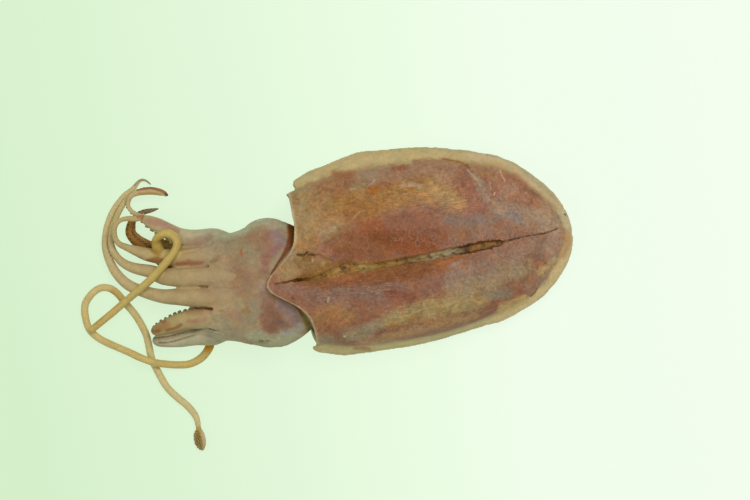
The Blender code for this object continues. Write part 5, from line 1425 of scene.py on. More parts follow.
class Skin:
    """The points of the skin, with what is worked out about them."""

    def __init__(self, points, quads, label, names):
        self.points = points
        self.quads = quads
        self.label = label
        self.names = names
        self.edges = edges_of(quads)
        self.noise = Noise(11)
        self.update()

    def update(self):
        self.normals = normals_of(self.points, self.quads)
        self.spots = to_pixels(self.points)
        self.upper = soft_step(*UPPER, self.normals[:, 2])

    def of(self, *where):
        """Which points belong to these parts."""
        return np.isin(self.label, [n for n, name in enumerate(self.names) if name in where])

    def wander(self, wave, offset):
        """A shift for every point, about one pixel long."""
        one = self.noise.octaves(self.points + offset, wave, 3)
        two = self.noise.octaves(self.points + offset + WANDER_APART, wave, 3)
        return np.stack([one, two], axis=1)

    def ease_joins(self):
        """Extra smoothing where an arm or a fin leaves the body."""
        across = self.label[self.edges[:, 0]] != self.label[self.edges[:, 1]]
        weight = np.zeros(len(self.points))
        weight[self.edges[across].ravel()] = 1.0
        for _ in range(EASE_SPREAD):
            weight = np.maximum(weight * EASE_FADE, averaged(weight, self.edges, len(weight)))
        weight *= ~self.of("lid") * (1 - TAIL_SPARED * soft_step(*TAIL_X, self.points[:, 0]))
        weight = np.clip(weight * EASE_GAIN, 0, 1)
        self.points = smoothed(self.points, self.edges, EASE_ROUNDS, *EASE_STEPS, weight)
        self.update()

    def cut_grooves(self, fine):
        """How far the grooves and the long crack move each point, and how near it is to the crack."""
        depth = np.zeros(len(self.points))
        steep = soft_step(*STEEP, self.normals[:, 2])
        for where, half, deep, lip, ragged, *path in GROOVES:
            rows = [(u, v, half) for u, v in path]
            found, near = brush(self.spots, rows, ragged * 2, fine * ragged)
            on = self.of(*where)[found] * steep[found]
            ends = 1 - soft_step(*GROOVE_FLOOR, near)
            inside = np.minimum(depth[found], -deep * ends * on)
            lifted = depth[found] + lip * bell(near, *GROOVE_LIP) * on
            depth[found] = np.where(near < 1, inside, lifted)
        u = self.spots[:, 0]
        loose = np.where((u > FILLED_FROM) & (u < FILLED_TO), FILLED_LOOSE, 1.0)
        found, near = brush(self.spots, CRACK, CRACK_SLACK, fine * loose[:, None])
        on = self.of(*MANTLE)[found] * steep[found]
        floor = 1 - soft_step(*CRACK_FLOOR, near)
        rim = bell(near, *CRACK_LIP) * CRACK_LIP_HEIGHT
        depth[found] += (-number_column(CRACK_DEPTH, u[found]) * floor + rim) * on
        self.crack = np.full(len(self.points), CRACK_FAR)
        self.crack[found] = np.where(on > 0, np.minimum(near, CRACK_FAR), CRACK_FAR)
        self.edge = number_column(CRACK_EDGE, u)
        self.way = np.clip((u - CRACK_FROM) / (CRACK_TO - CRACK_FROM), 0, 1)
        return depth

    def wrinkle(self):
        """How far the skin's folds lift each point."""
        body, head = self.of("mantle", "fin_right", "fin_left"), self.of(*HEAD)
        masks = {
            "body": body,
            "body off the crack": body & (self.crack > CRACK_CLEAR),
            "head": head,
            "arms": ~(body | head),
        }
        rise = np.zeros(len(self.points))
        for where, shift, wave, count, height in WRINKLES:
            rise += self.noise.octaves(self.points + shift, wave, count) * height * masks[where]
        return rise

    def open_eyes(self):
        """The skin sinks in front of each eyeball, inside the ring of its lids."""
        for place in (EYE_RIGHT, EYE_LEFT):
            own = np.array(eye_frame(place))
            turn, middle = own[:3, :3], own[:3, 3]
            local = (self.points - middle) @ turn
            along = local[:, 0] / EYE_HALF_LENGTH
            up = local[:, 2] / EYE_HALF_HEIGHT
            share = np.hypot(along / EYE_OPENING[0], (up + EYE_OPENING_DROP) / EYE_OPENING[1])
            ball = EYE_HALF_DEPTH * np.sqrt(np.clip(1 - along**2 - up**2, 0.0, 1.0))
            sunk = np.minimum(local[:, 1], ball - EYE_SHOWS)
            here = (1 - soft_step(*EYE_OPENING_EDGE, share)) * (local[:, 1] > 0)
            for reach, height in EYE_FOLDS:
                fold = bell(share, reach, EYE_FOLD_WIDTH) * (local[:, 1] > 0)
                local[:, 1] += height * fold * soft_step(*EYE_FOLDS_FROM, up)
            local[:, 1] += (sunk - local[:, 1]) * here
            self.points = local @ turn.T + middle

    def shape(self):
        """Smooths, grooves and wrinkles the skin, and opens its lids."""
        self.ease_joins()
        fins = spread(self.of("fin_right", "fin_left", "tail").astype(float), self.edges, FIN_SPREAD)
        self.points = smoothed(self.points, self.edges, FIN_ROUNDS, *FIN_MOVES, fins)
        self.update()
        depth = self.cut_grooves(self.wander(*GROOVE_WANDER)) + self.wrinkle()
        self.points = self.points + self.normals * depth[:, None]
        self.open_eyes()
        self.points[:, 2] = np.maximum(self.points[:, 2], SOLE)
        self.update()

    def share_out(self, name, route):
        """For one arm's points, how far out each lies along it, from 0 to 1."""
        mine = np.nonzero(self.of(name))[0]
        frames = route_frames(route, 0.0, route_keys(route)[-1], SHARE_STEP)
        places = np.array([tuple(frame[0]) for frame in frames])
        gap = ((self.points[mine][:, None, :] - places[None]) ** 2).sum(axis=2)
        return mine, gap.argmin(axis=1) / (len(frames) - 1)

    def base_colours(self):
        """Each part's own colour, running softly from one part into the next."""
        pairs = [[linear(code) for code in BASES[name]] for name in self.names]
        colour = np.array([one for one, _ in pairs])[self.label]
        for name, route in [row[:2] for row in ARMS] + list(TENTACLES):
            mine, share = self.share_out(name, route)
            near, tip = pairs[self.names.index(name)]
            colour[mine] = near + (tip - near) * share[:, None]
        front = soft_step(*FAN_HEAD_X, self.points[:, 0]) * self.of("head")
        front += soft_step(*FAN_ARMS_X, self.points[:, 0]) * self.of(*ARM_NAMES[:6])
        fan = colour_column(FAN, self.points[:, 1])
        colour += (fan - colour) * front[:, None]
        return spread(colour, self.edges, COLOUR_SPREAD)

    def collar_gap(self):
        """How far each point lies behind the collar's front edge, in millimetres."""
        turn = math.radians(MANTLE_TILT)
        x = self.points[:, 0] - MANTLE_FRONT[0]
        y = self.points[:, 1] - MANTLE_FRONT[1]
        s = x * math.cos(turn) + y * math.sin(turn)
        t = -x * math.sin(turn) + y * math.cos(turn)
        return s - LOBE_REACH * (1 - np.exp(-((t / LOBE_WIDTH) ** 2)))

    def stroke(self, colour, on, noises, row):
        """One stroke over the points that on picks out."""
        code, strength, ragged, *path = row
        large, small, rough = noises
        shift = large * (ragged * LARGE_SHARE) + small * min(SMALL_MOST, ragged * SMALL_SHARE)
        found, near = brush(self.spots, path, ragged * 2, shift)
        soft = min(1.0, ragged / SOFTEST)
        near = near + rough[found] * soft
        full, none = (hard + (gentle - hard) * soft for hard, gentle in zip(HARD_EDGE, SOFT_EDGE))
        cover = 1 - soft_step(full, none, near)
        colour[found] += (linear(code) - colour[found]) * (cover * strength * on[found])[:, None]

    def paint(self):
        """The colour of every point."""
        colour = self.base_colours()
        rough = self.noise.octaves(self.points + ROUGH_SHIFT, ROUGH_WAVE, 2) * ROUGH_HEIGHT
        noises = self.wander(*LARGE_WANDER), self.wander(*SMALL_WANDER), rough
        for sections, side in ((PAINT, self.upper), (ARM_PAINT, self.upper), (GAP_SHADE_AND_MEMBRANE, 1.0)):
            for where, *rows in sections:
                on = self.of(*where) * side
                for row in rows:
                    self.stroke(colour, on, noises, row)
        grey = colour.mean(axis=1, keepdims=True)
        colour += (colour - grey) * (BODY_RICH - 1) * self.of(*BODY)[:, None]
        rim = bell(self.collar_gap(), *RIM_PLACE) * self.of(*MANTLE) * self.upper * RIM_STRENGTH
        colour += (linear(RIM_COLOUR) - colour) * rim[:, None]
        under = self.of("mantle", "head", "funnel", "fin_right", "fin_left")
        belly = (1 - soft_step(*UNDER, self.normals[:, 2])) * under
        colour += (linear(BELLY) - colour) * (belly * BELLY_STRENGTH)[:, None]
        return np.maximum(colour, 0.0)

    def mask(self, rows, large):
        """How strongly each point of the mantle's back lies under these paths."""
        total = np.zeros(len(self.points))
        for strength, *path in rows:
            found, near = brush(self.spots, path, MASK_SLACK, large * MASK_SHARE)
            cover = (1 - soft_step(*MASK_EDGE, near)) * strength
            total[found] = np.maximum(total[found], cover)
        return total * self.upper * self.of(*MANTLE)

    def coarse(self):
        """How strongly each point is mottled."""
        level = np.full(len(self.points), COARSE["arms"])
        for name, where in (("mantle", MANTLE), ("fins", BODY[1:]), ("head", HEAD)):
            level[self.of(*where)] = COARSE[name]
        level *= COARSE_BELOW + (1 - COARSE_BELOW) * self.upper
        return spread(level, self.edges, COARSE_SPREAD)


def point_attribute(mesh, name, values):
    """A number or a colour for every point of a mesh, for its material to read."""
    if values.ndim == 1:
        made = mesh.attributes.new(name, "FLOAT", "POINT")
        made.data.foreach_set("value", values.astype(np.float32))
    else:
        made = mesh.attributes.new(name, "FLOAT_COLOR", "POINT")
        full = np.ones((len(values), 4), dtype=np.float32)
        full[:, :3] = values
        made.data.foreach_set("color", full.ravel())


def add_mesh(name, points, faces, material):
    """A smooth piece from points in millimetres."""
    mesh = bpy.data.meshes.new(name)
    mesh.from_pydata(np.asarray(points) * MM, [], [tuple(f) for f in faces])
    mesh.shade_smooth()
    mesh.materials.append(material)
    obj = bpy.data.objects.new(name, mesh)
    bpy.context.scene.collection.objects.link(obj)
    return obj


class Nodes:
    """Short ways to add and join the nodes of one material."""

    def __init__(self, name):
        self.material = bpy.data.materials.new(name)
        self.material.use_nodes = True
        self.tree = self.material.node_tree
        self.shader = self.tree.nodes["Principled BSDF"]

    def add(self, kind, **settings):
        node = self.tree.nodes.new(kind)
        for key, value in settings.items():
            setattr(node, key, value)
        return node

    def set(self, socket, value):
        if hasattr(value, "is_output"):
            self.tree.links.new(value, socket)
        elif isinstance(value, str):
            socket.default_value = (*linear(value), 1.0)
        else:
            socket.default_value = value

    def to_shader(self, **values):
        for name, value in values.items():
            self.set(self.shader.inputs[name.replace("_", " ")], value)

    def attribute(self, name, output="Fac"):
        return self.add("ShaderNodeAttribute", attribute_name=name).outputs[output]

    def place(self, stretch=(1, 1, 1), turn=0.0):
        """Object coordinates in millimetres, turned about Z and then stretched."""
        coordinates = self.add("ShaderNodeTexCoord").outputs["Object"]
        turned = self.add("ShaderNodeMapping")
        turned.inputs["Rotation"].default_value = (0, 0, math.radians(turn))
        self.set(turned.inputs["Vector"], coordinates)
        mapping = self.add("ShaderNodeMapping")
        mapping.inputs["Scale"].default_value = [s / MM for s in stretch]
        self.set(mapping.inputs["Vector"], turned.outputs["Vector"])
        return mapping.outputs["Vector"]

    def noise(self, wave, detail=3.0, roughness=0.55, stretch=(1, 1, 1), turn=0.0, output="Fac"):
        """Noise whose waves are so many millimetres long."""
        node = self.add("ShaderNodeTexNoise")
        self.set(node.inputs["Vector"], self.place(stretch, turn))
        node.inputs["Scale"].default_value = 1 / wave
        node.inputs["Detail"].default_value = detail
        node.inputs["Roughness"].default_value = roughness
        return node.outputs[output]

    def remap(self, value, low, high, to_low=0.0, to_high=1.0):
        """The value, moved evenly from one range to another and kept inside it."""
        node = self.add("ShaderNodeMapRange", clamp=True)
        self.set(node.inputs["Value"], value)
        ends = {"From Min": low, "From Max": high, "To Min": to_low, "To Max": to_high}
        for name, number in ends.items():
            self.set(node.inputs[name], number)
        return node.outputs["Result"]

    def math(self, operation, one, two=0.0):
        node = self.add("ShaderNodeMath", operation=operation)
        self.set(node.inputs[0], one)
        self.set(node.inputs[1], two)
        return node.outputs["Value"]

    def times(self, one, two):
        return self.math("MULTIPLY", one, two)

    def plus(self, one, two):
        return self.math("ADD", one, two)

    def swing(self, noise, strength):
        """How far a noise is from its middle value, times a strength."""
        return self.times(self.math("SUBTRACT", noise, 0.5), strength)

    def mix(self, factor, one, two, blend="MIX"):
        node = self.add("ShaderNodeMix", data_type="RGBA", blend_type=blend)
        self.set(node.inputs["Factor"], factor)
        self.set(node.inputs[6], one)
        self.set(node.inputs[7], two)
        return node.outputs[2]

    def scaled(self, colour, level):
        """The colour times a level."""
        grey = self.add("ShaderNodeCombineXYZ")
        for k in range(3):
            self.set(grey.inputs[k], level)
        return self.mix(1.0, colour, grey.outputs["Vector"], "MULTIPLY")

    def shifted(self, colour, amount, ratio):
        """The colour moved towards a red, green and blue multiple of itself."""
        return self.mix(amount, colour, self.mix(1.0, colour, (*ratio, 1), "MULTIPLY"))

    def worms(self, wave, half, turn):
        """Thin winding lines, where a noise passes its middle value."""
        value = self.noise(wave, 2.0, 0.5, turn=turn)
        return self.remap(self.math("ABSOLUTE", self.swing(value, 1.0)), 0.0, half, 1.0, 0.0)

    def ramp(self, value, stops):
        """A colour for each value, from stops of place and colour."""
        node = self.add("ShaderNodeValToRGB")
        elements = node.color_ramp.elements
        while len(elements) < len(stops):
            elements.new(0.5)
        for element, (place, code) in zip(elements, stops):
            element.position = place
            element.color = (*linear(code), 1.0)
        self.set(node.inputs["Fac"], value)
        return node.outputs["Color"]

    def net(self, wave, thin, warp=0.6):
        """Thin lines between uneven cells, as a mask from 0 to 1."""
        node = self.add("ShaderNodeTexVoronoi", feature="DISTANCE_TO_EDGE")
        shift = self.noise(wave * 1.3, 2.0, output="Color")
        add = self.add("ShaderNodeVectorMath", operation="MULTIPLY_ADD")
        self.set(add.inputs[0], shift)
        add.inputs[1].default_value = (wave * warp * 2,) * 3
        self.set(add.inputs[2], self.place())
        self.set(node.inputs["Vector"], add.outputs["Vector"])
        node.inputs["Scale"].default_value = 1 / wave
        return self.remap(node.outputs["Distance"], 0.0, thin, 1.0, 0.0)

    def bump(self, height, strength, distance):
        """Fine relief, of so many millimetres."""
        node = self.add("ShaderNodeBump")
        node.inputs["Strength"].default_value = strength
        node.inputs["Distance"].default_value = distance * MM
        self.set(node.inputs["Height"], height)
        return node.outputs["Normal"]


def mottled(n, colour, coarse, grain, mottle):
    """Warm, cool, dark and pale patches, grains and pale winding lines."""
    warm = n.remap(n.noise(1.7, 5.0, 0.6), 0.42, 0.6)
    cool = n.remap(n.noise(1.5, 5.0, 0.6, turn=40.0), 0.45, 0.62)
    colour = n.shifted(colour, n.times(warm, n.times(coarse, 0.8)), (1.06, 0.93, 0.78))
    colour = n.shifted(colour, n.times(cool, n.times(coarse, 0.7)), (0.94, 1.05, 1.14))
    darkest = n.math("SUBTRACT", 1.0, n.times(coarse, 0.16))
    colour = n.scaled(colour, n.remap(n.noise(2.2, 4.0, 0.6), 0.35, 0.65, darkest, 1.1))
    for value, strength in ((mottle, 1.35), (grain, 0.7)):
        colour = n.scaled(colour, n.plus(1.0, n.swing(value, n.times(coarse, strength))))
    patches = n.remap(n.noise(1.5, 2.0, 0.5, turn=5.0), 0.45, 0.6)
    pale = n.times(n.worms(1.2, 0.016, 15.0), patches)
    return n.mix(n.times(pale, n.times(coarse, 0.42)), colour, "C9A078")


def fibrous(n, colour, strand, fibre):
    """Long fibres, dark and pale."""
    colour = n.scaled(colour, n.plus(1.0, n.swing(strand, n.times(fibre, 1.3))))
    streaks = n.times(n.remap(strand, 0.54, 0.68), fibre)
    return n.mix(n.times(streaks, 0.35), colour, "C69C68")


def specked(n, colour, speck):
    """Red-brown winding lines and dots."""
    fine = n.times(n.worms(0.75, 0.05, 50.0), speck)
    colour = n.mix(n.times(fine, 0.5), colour, "7C3A1E")
    dots = n.times(n.remap(n.noise(0.33, 1.0, 0.5, turn=20.0), 0.56, 0.66), speck)
    return n.mix(n.times(dots, 0.45), colour, "A0522A")


def web_lines(n, web):
    """Fine cracks in the skin: a net, and short winding ones between."""
    net = n.times(n.net(1.5, 0.05), n.remap(n.noise(1.6, 2.0), 0.47, 0.6))
    patches = n.remap(n.noise(1.2, 2.0, 0.5, turn=70.0), 0.46, 0.6)
    return n.times(n.math("MAXIMUM", net, n.times(n.worms(1.0, 0.022, 71.0), patches)), web)


def cracked(n, colour):
    """The long crack: what shows inside it, and the dark line along its edge."""
    torn = n.plus(n.attribute("crack"), n.swing(n.noise(0.55, 3.0, 0.65), 1.7))
    inside = n.remap(torn, 0.72, 1.14, 1.0, 0.0)
    stops = [((u - CRACK_FROM) / (CRACK_TO - CRACK_FROM), code) for u, code in CRACK_COLOURS]
    bed = n.ramp(n.attribute("way"), stops)
    bed = n.scaled(bed, n.remap(n.noise(0.5, 3.0, 0.65, (0.5, 1, 1), -10.0), 0.35, 0.65, 0.6, 1.2))
    chips = n.remap(n.noise(0.9, 2.0, 0.5, (0.5, 1, 1), -10.0), 0.57, 0.62)
    bed = n.shifted(bed, n.times(chips, 0.6), (1.25, 1.25, 1.32))
    pits = n.remap(n.noise(0.8, 3.0, 0.6, (0.7, 1, 1), 33.0), 0.53, 0.64)
    bed = n.mix(n.times(pits, 0.75), bed, "4C2E0E")
    dark = n.times(n.remap(torn, 0.6, 0.9), n.remap(torn, 0.95, 1.15, 1.0, 0.0))
    return n.mix(n.times(dark, n.attribute("edge")), n.mix(inside, colour, bed), "4A2C0C")


def skin_material():
    """Painted skin with its mottling, fibres, specks, fine lines and long crack."""
    n = Nodes("skin")
    coarse, fibre = n.attribute("coarse"), n.attribute("fibre")
    grain = n.noise(0.2, 2.0, 0.6)
    mottle = n.noise(0.6, 3.0, 0.65)
    strand = n.noise(0.22, 3.0, 0.6, (0.13, 1, 1), -8.0)
    lines = web_lines(n, n.attribute("web"))
    colour = mottled(n, n.attribute("tint", "Color"), coarse, grain, mottle)
    colour = fibrous(n, colour, strand, fibre)
    colour = specked(n, colour, n.attribute("speck"))
    colour = cracked(n, n.mix(n.times(lines, 0.45), colour, "B9957E"))
    height = n.plus(n.times(grain, 0.35), n.times(mottle, 0.65))
    height = n.plus(height, n.times(lines, 0.35))
    height = n.plus(height, n.times(strand, n.times(fibre, 0.4)))
    n.to_shader(
        Base_Color=colour,
        Roughness=n.remap(mottle, 0.3, 0.7, 0.42, 0.62),
        Normal=n.bump(height, 0.4, 0.12),
        Specular_IOR_Level=0.2,
        Subsurface_Weight=0.08,
        Subsurface_Radius=(0.9, 0.55, 0.35),
        Subsurface_Scale=0.5 * MM,
    )
    return n.material


def sucker_material():
    n = Nodes("suckers")
    cloud = n.noise(0.5, 2.0)
    colour = n.mix(n.remap(cloud, 0.35, 0.7, 0.0, 0.35), n.attribute("tint", "Color"), "6A4A20")
    n.to_shader(Base_Color=colour, Roughness=n.remap(cloud, 0.3, 0.7, 0.28, 0.45))
    return n.material


def eye_material():
    n = Nodes("eye")
    fleck = n.noise(0.22, 3.0)
    colour = n.mix(n.remap(fleck, 0.4, 0.7, 0.0, 0.4), n.attribute("tint", "Color"), "241A12")
    n.to_shader(
        Base_Color=colour,
        Roughness=n.remap(fleck, 0.3, 0.7, 0.08, 0.16),
        Coat_Weight=0.6,
        Coat_Roughness=0.05,
    )
    return n.material


def beak_material():
    n = Nodes("beak")
    rings = n.noise(0.25, 3.0, 0.5, (1, 0.3, 0.3))
    colour = n.mix(n.remap(rings, 0.35, 0.7), "3A2010", "6E4A28")
    n.to_shader(Base_Color=colour, Roughness=n.remap(rings, 0.3, 0.7, 0.2, 0.38))
    return n.material


FLOOR_GLOW = 0.88  # the share of the table's brightness that is its own glow
FLOOR_LEFT, FLOOR_RIGHT = -56.0, 73.0  # X between which its colour changes
# painted falloff of the table's light: darker and greener towards the head's side
FLOOR_STOPS = ((0.0, "D8F1CD"), (0.28, "E1F7D8"), (0.5, "EAFDE2"), (0.72, "F2FFED"), (1.0, "F4FFEF"))


def floor_material():
    """A pale glowing table, painted darker and greener towards the head's side, where its light falls
    off.
    """
    n = Nodes("table")
    across = n.add("ShaderNodeSeparateXYZ")
    n.set(across.inputs[0], n.place())
    drift = n.swing(n.noise(40.0, 2.0), 6.0)
    lean = n.times(across.outputs[1], n.remap(across.outputs[0], FLOOR_LEFT, 30.0, 0.25, 0.1))
    x = n.plus(n.plus(across.outputs[0], drift), lean)
    colour = n.ramp(n.remap(x, FLOOR_LEFT, FLOOR_RIGHT), FLOOR_STOPS)
    n.to_shader(
        Base_Color=n.scaled(colour, 1 - FLOOR_GLOW),
        Roughness=n.remap(n.noise(5.0), 0.3, 0.7, 0.75, 0.85),
        Specular_IOR_Level=0.0,
        Emission_Color=colour,
        Emission_Strength=FLOOR_GLOW,
    )
    return n.material


SUCKER_SIDES = 14
# A sucker's section from its foot to the cup's middle: radius and height, in sucker radii
SUCKER_PROFILE = (
    (0.7, -0.7), (0.95, 0.1), (1.05, 0.45), (1.0, 0.68),
    (0.85, 0.78), (0.68, 0.7), (0.5, 0.42), (0.25, 0.3),
)
CUP_FLOOR = 0.25  # the height of the cup's middle, in sucker radii
# Colours up the outside, over the rim and into the cup
SUCKER_TINTS = {
    "gold": ("A8842E", "A8842E", "B09236", "7A5C18", "644812", "8A6C1E", "B89A36", "A08420"),
    "brown": ("7A5424", "7A5424", "86602A", "4A2E10", "3C240C", "6A4418", "A8842E", "94701E"),
    "green": ("8C8458", "8C8458", "848458", "4E5E40", "3E4E34", "5E6848", "8A8C60", "7C7C50"),
    "club": ("B49C62", "B49C62", "BCA66C", "86702C", "745A20", "968038", "BCA860", "A08A48"),
}
# For each arm: angle of its two rows, radius as a share of the arm's width, least radius,
# distance from one to the next in a row, colours
SUCKER_ROWS = {
    "arm_1_right": (12.0, 0.09, 0.04, 0.95, "green"),
    "arm_1_left": (12.0, 0.09, 0.04, 0.95, "green"),
    "arm_2_right": (30.0, 0.075, 0.06, 1.0, "green"),
    "arm_2_left": (26.0, 0.06, 0.08, 0.95, "green"),
    "arm_3_right": (30.0, 0.13, 0.1, 1.1, "gold"),
    "arm_3_left": (20.0, 0.09, 0.05, 0.95, "green"),
    "arm_4_right": (34.0, 0.09, 0.06, 0.66, "brown"),
    "arm_4_left": (20.0, 0.09, 0.05, 0.95, "green"),
}
SUCKERS_STOP = 0.4  # how far from an arm's tip its suckers end
SUCKER_MOST = 0.42  # the largest radius on an arm
SUCKER_SPREAD, CLUB_SPREAD = (0.88, 1.12), (0.85, 1.1)  # the shares between which sizes vary
CLUB_ENDS, CLUB_PITCH = 0.4, 0.33
CLUB_SUCKERS_AT = 62.0
CLUB_ROWS = (-40, -13, 13, 38)
CLUB_TURN = 9  # degrees by which every second row across the club is turned
CLUB_LEAST, CLUB_MORE = 0.13, 0.07  # radius at the club's ends, and what its middle adds


def sucker_places(draw, tree):
    """Place, way out, radius and colours of every sucker."""
    found = []
    for name, route, oral_root, oral_tip, first, _, _ in ARMS:
        angle, share, least, pitch, tints = SUCKER_ROWS[name]
        total = route_keys(route)[-1]
        for n, place in enumerate(route_frames(route, total * first, total - SUCKERS_STOP, pitch / 2)):
            oral = oral_root + (oral_tip - oral_root) * place[5] / total
            row = math.radians(angle) * (1 if n % 2 else -1)
            base = section_point(place, oral, math.pi + row)
            radius = (place[3] * share + least) * draw.uniform(*SUCKER_SPREAD)
            found.append((base, place[0], min(radius, SUCKER_MOST), tints))
    total = route_keys(CLUB)[-1]
    for n, place in enumerate(route_frames(CLUB, CLUB_ENDS, total - CLUB_ENDS, CLUB_PITCH)):
        bulge = math.sin(math.pi * (place[5] - CLUB_ENDS) / (total - 2 * CLUB_ENDS))
        for row in CLUB_ROWS:
            turn = math.pi + math.radians(row + (CLUB_TURN if n % 2 else 0))
            base = section_point(place, CLUB_SUCKERS_AT, turn)
            radius = (CLUB_LEAST + CLUB_MORE * bulge) * draw.uniform(*CLUB_SPREAD)
            found.append((base, place[0], radius, "club"))
    placed = []
    for base, middle, radius, tints in found:
        spot = tree.find_nearest(base)[0]
        placed.append((spot, (base - middle).normalized(), radius, tints))
    return placed


def suckers_mesh(places):
    """All suckers in one mesh, with a colour for each point."""
    points, faces, tints = [], [], []
    for base, out, radius, kind in places:
        side = out.orthogonal().normalized()
        other = out.cross(side)
        rings = []
        for number, (scale, height) in enumerate(SUCKER_PROFILE):
            rings.append(len(points))
            for angle in turns(SUCKER_SIDES):
                rim = side * math.cos(angle) + other * math.sin(angle)
                points.append(on_floor(base + rim * radius * scale + out * radius * height))
                tints.append(SUCKER_TINTS[kind][number])
        points.append(on_floor(base + out * radius * CUP_FLOOR))
        tints.append(SUCKER_TINTS[kind][-1])
        faces += wall_faces(rings, SUCKER_SIDES)
        for k in range(SUCKER_SIDES):
            faces.append((rings[-1] + k, rings[-1] + (k + 1) % SUCKER_SIDES, len(points) - 1))
        faces.append(tuple(range(rings[0], rings[0] + SUCKER_SIDES))[::-1])
    return points, faces, np.array([linear(code) for code in tints])


EYE_COLUMNS, EYE_ROWS = 64, 48
PUPIL_HALF = (0.62, 0.16)  # its half length and half height, in eye sizes
PUPIL_DROP = 0.25  # how far it lies under the eye's middle
PUPIL_WAVE = (-0.05, 0.32, 6.2)  # its wavy line: middle, height, and radians for an eye size
IRIS_FROM = 0.55  # how far out of the eye's middle the iris begins, in millimetres
EYE_TINTS = {"pupil": "0A0706", "iris": "8C8A72", "back": "3C2C24"}


def eye_tint(local):
    """The colour at a point of the eyeball: a wavy dark pupil in a grey-green iris."""
    across = local.x / EYE_HALF_LENGTH
    middle, high, pace = PUPIL_WAVE
    line = middle + high * math.cos(across * pace)
    gap = abs(local.z / EYE_HALF_HEIGHT - line + PUPIL_DROP)
    if abs(across) < PUPIL_HALF[0] and gap < PUPIL_HALF[1] and local.y > 0:
        return EYE_TINTS["pupil"]
    return EYE_TINTS["iris" if local.y > IRIS_FROM else "back"]


def eye_piece(name, place, material):
    """An eyeball in rings round its own Y."""
    own = eye_frame(place)
    points, tints = [], []
    for i in range(1, EYE_ROWS):
        polar = math.pi * i / EYE_ROWS
        for angle in turns(EYE_COLUMNS):
            x = EYE_HALF_LENGTH * math.sin(polar) * math.cos(angle)
            y = EYE_HALF_DEPTH * math.cos(polar)
            z = EYE_HALF_HEIGHT * math.sin(polar) * math.sin(angle)
            points.append(own @ Vector((x, y, z)))
            tints.append(linear(eye_tint(Vector((x, y, z)))))
    points, faces = ring_skin(points, EYE_COLUMNS)
    obj = add_mesh(name, points, faces, material)
    point_attribute(obj.data, "tint", np.array(tints))
    return obj


def skin_nodes():
    """The solids that the skin stands for."""
    lengths = {name: ("base", "middle", "tip") for name in ARM_NAMES}
    lengths["arm_4_left"] = ("base", "tip")
    lengths["tentacle_right"] = ("root", "ring", "shaft")
    lengths["tentacle_left"] = ("root", "crossing", "bend", "return", "end", "club")
    nodes = ["mantle", "fin_right", "fin_left", "head", "funnel", "buccal_mass"]
    return nodes + [f"{limb}_{part}" for limb, parts in lengths.items() for part in parts]


def place_piece(obj, slot, *nodes):
    """Says what a piece is: the solids it replaces, and that it never moves. The slot is not used."""
    if nodes:
        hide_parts(*nodes)
    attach(obj, "root")


def build_skin():
    """The skin, and a search tree of its surface."""
    parts = skin_parts()
    names = [name for name, _, _ in parts]
    verts, faces, owner = joined_mesh(parts)
    points, quads = remeshed(verts, faces, VOXEL)
    points = smoothed(points, edges_of(quads), 2)
    skin = Skin(points, quads, labels_of(points, verts, faces, owner), names)
    skin.shape()
    obj = add_mesh("skin", skin.points, quads, skin_material())
    point_attribute(obj.data, "tint", skin.paint())
    point_attribute(obj.data, "coarse", skin.coarse())
    large = skin.wander(*MASK_WANDER)
    for name, rows in (("web", WEB), ("fibre", FIBRE), ("speck", SPECK)):
        point_attribute(obj.data, name, skin.mask(rows, large))
    for name, values in (("crack", skin.crack), ("way", skin.way), ("edge", skin.edge)):
        point_attribute(obj.data, name, values)
    place_piece(obj, "mantle_skin", *skin_nodes())
    return BVHTree.FromPolygons([Vector(p) for p in skin.points], quads.tolist())


def build_suckers(tree):
    """The suckers, set on the skin."""
    draw = np.random.default_rng(5)
    cups, cup_faces, cup_tints = suckers_mesh(sucker_places(draw, tree))
    suckers = add_mesh("suckers", cups, cup_faces, sucker_material())
    point_attribute(suckers.data, "tint", cup_tints)
    place_piece(suckers, "arm_skin")


def build_eyes():
    gloss = eye_material()
    for name, place in (("eye_right", EYE_RIGHT), ("eye_left", EYE_LEFT)):
        place_piece(eye_piece(name + "_ball", place, gloss), "eye", name)


def build_beak():
    place_piece(add_mesh("horn_beak", *ball_mesh(*BEAK), beak_material()), "beak", "beak")


WORLD_LIGHT, WORLD_COLOUR = 0.35, (1.0, 1.0, 0.96, 1)
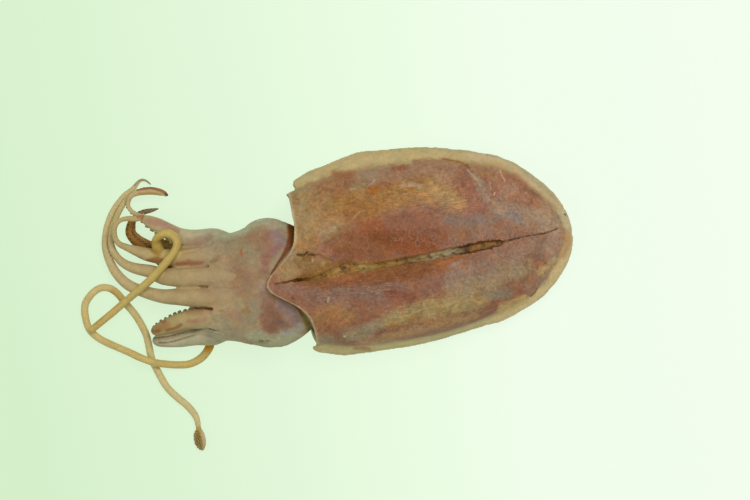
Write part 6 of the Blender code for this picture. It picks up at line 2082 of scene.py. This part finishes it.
# Name, place in metres, size and power
LAMPS = (
    ("key", (0.18, 0.24, 0.62), 0.3, 2.1),
    ("fill", (-0.3, -0.12, 0.52), 0.35, 0.8),
)
TABLE_HALF = 400
TABLE_DROP = 0.02  # how far the table lies under the floor's height
PHOTO_MIDDLE = (375, 250)  # the photograph's middle pixel, which the camera is over
CAMERA_HEIGHT = 1.006
CAMERA_LENS = 280.2
CAMERA_SENSOR = 36.0
CAMERA_CLIP = (0.1, 5.0)


def linked(name, data, place):
    """An object of the scene, at a place in metres."""
    obj = bpy.data.objects.new(name, data)
    obj.location = place
    bpy.context.scene.collection.objects.link(obj)
    return obj


def build_table():
    sides = ((-1, -1), (1, -1), (1, 1), (-1, 1))
    corners = [(x * TABLE_HALF, y * TABLE_HALF, -TABLE_DROP) for x, y in sides]
    add_mesh("table", corners, [(0, 1, 2, 3)], floor_material())


def build_lights():
    world = bpy.data.worlds.new("studio")
    world.use_nodes = True
    sky = world.node_tree.nodes["Background"]
    sky.inputs["Color"].default_value = WORLD_COLOUR
    sky.inputs["Strength"].default_value = WORLD_LIGHT
    bpy.context.scene.world = world
    bpy.context.scene.view_settings.view_transform = "Standard"
    for name, place, size, power in LAMPS:
        lamp = bpy.data.lights.new(name, "AREA")
        lamp.size = size
        lamp.energy = power
        obj = linked(name, lamp, place)
        obj.rotation_euler = (-Vector(place)).to_track_quat("-Z", "Y").to_euler()


def build_camera():
    """Straight above the photograph's middle, and looking down."""
    camera = bpy.data.cameras.new("camera")
    camera.lens = CAMERA_LENS
    camera.sensor_width = CAMERA_SENSOR
    camera.clip_start, camera.clip_end = CAMERA_CLIP
    x = (PHOTO_MIDDLE[0] - PIXEL_ORIGIN[0]) * PIXEL * MM
    y = (PIXEL_ORIGIN[1] - PHOTO_MIDDLE[1]) * PIXEL * MM
    bpy.context.scene.camera = linked("camera", camera, (x, y, CAMERA_HEIGHT))


def main():
    build_suckers(build_skin())
    build_eyes()
    build_beak()
    build_table()
    build_lights()
    build_camera()


main()
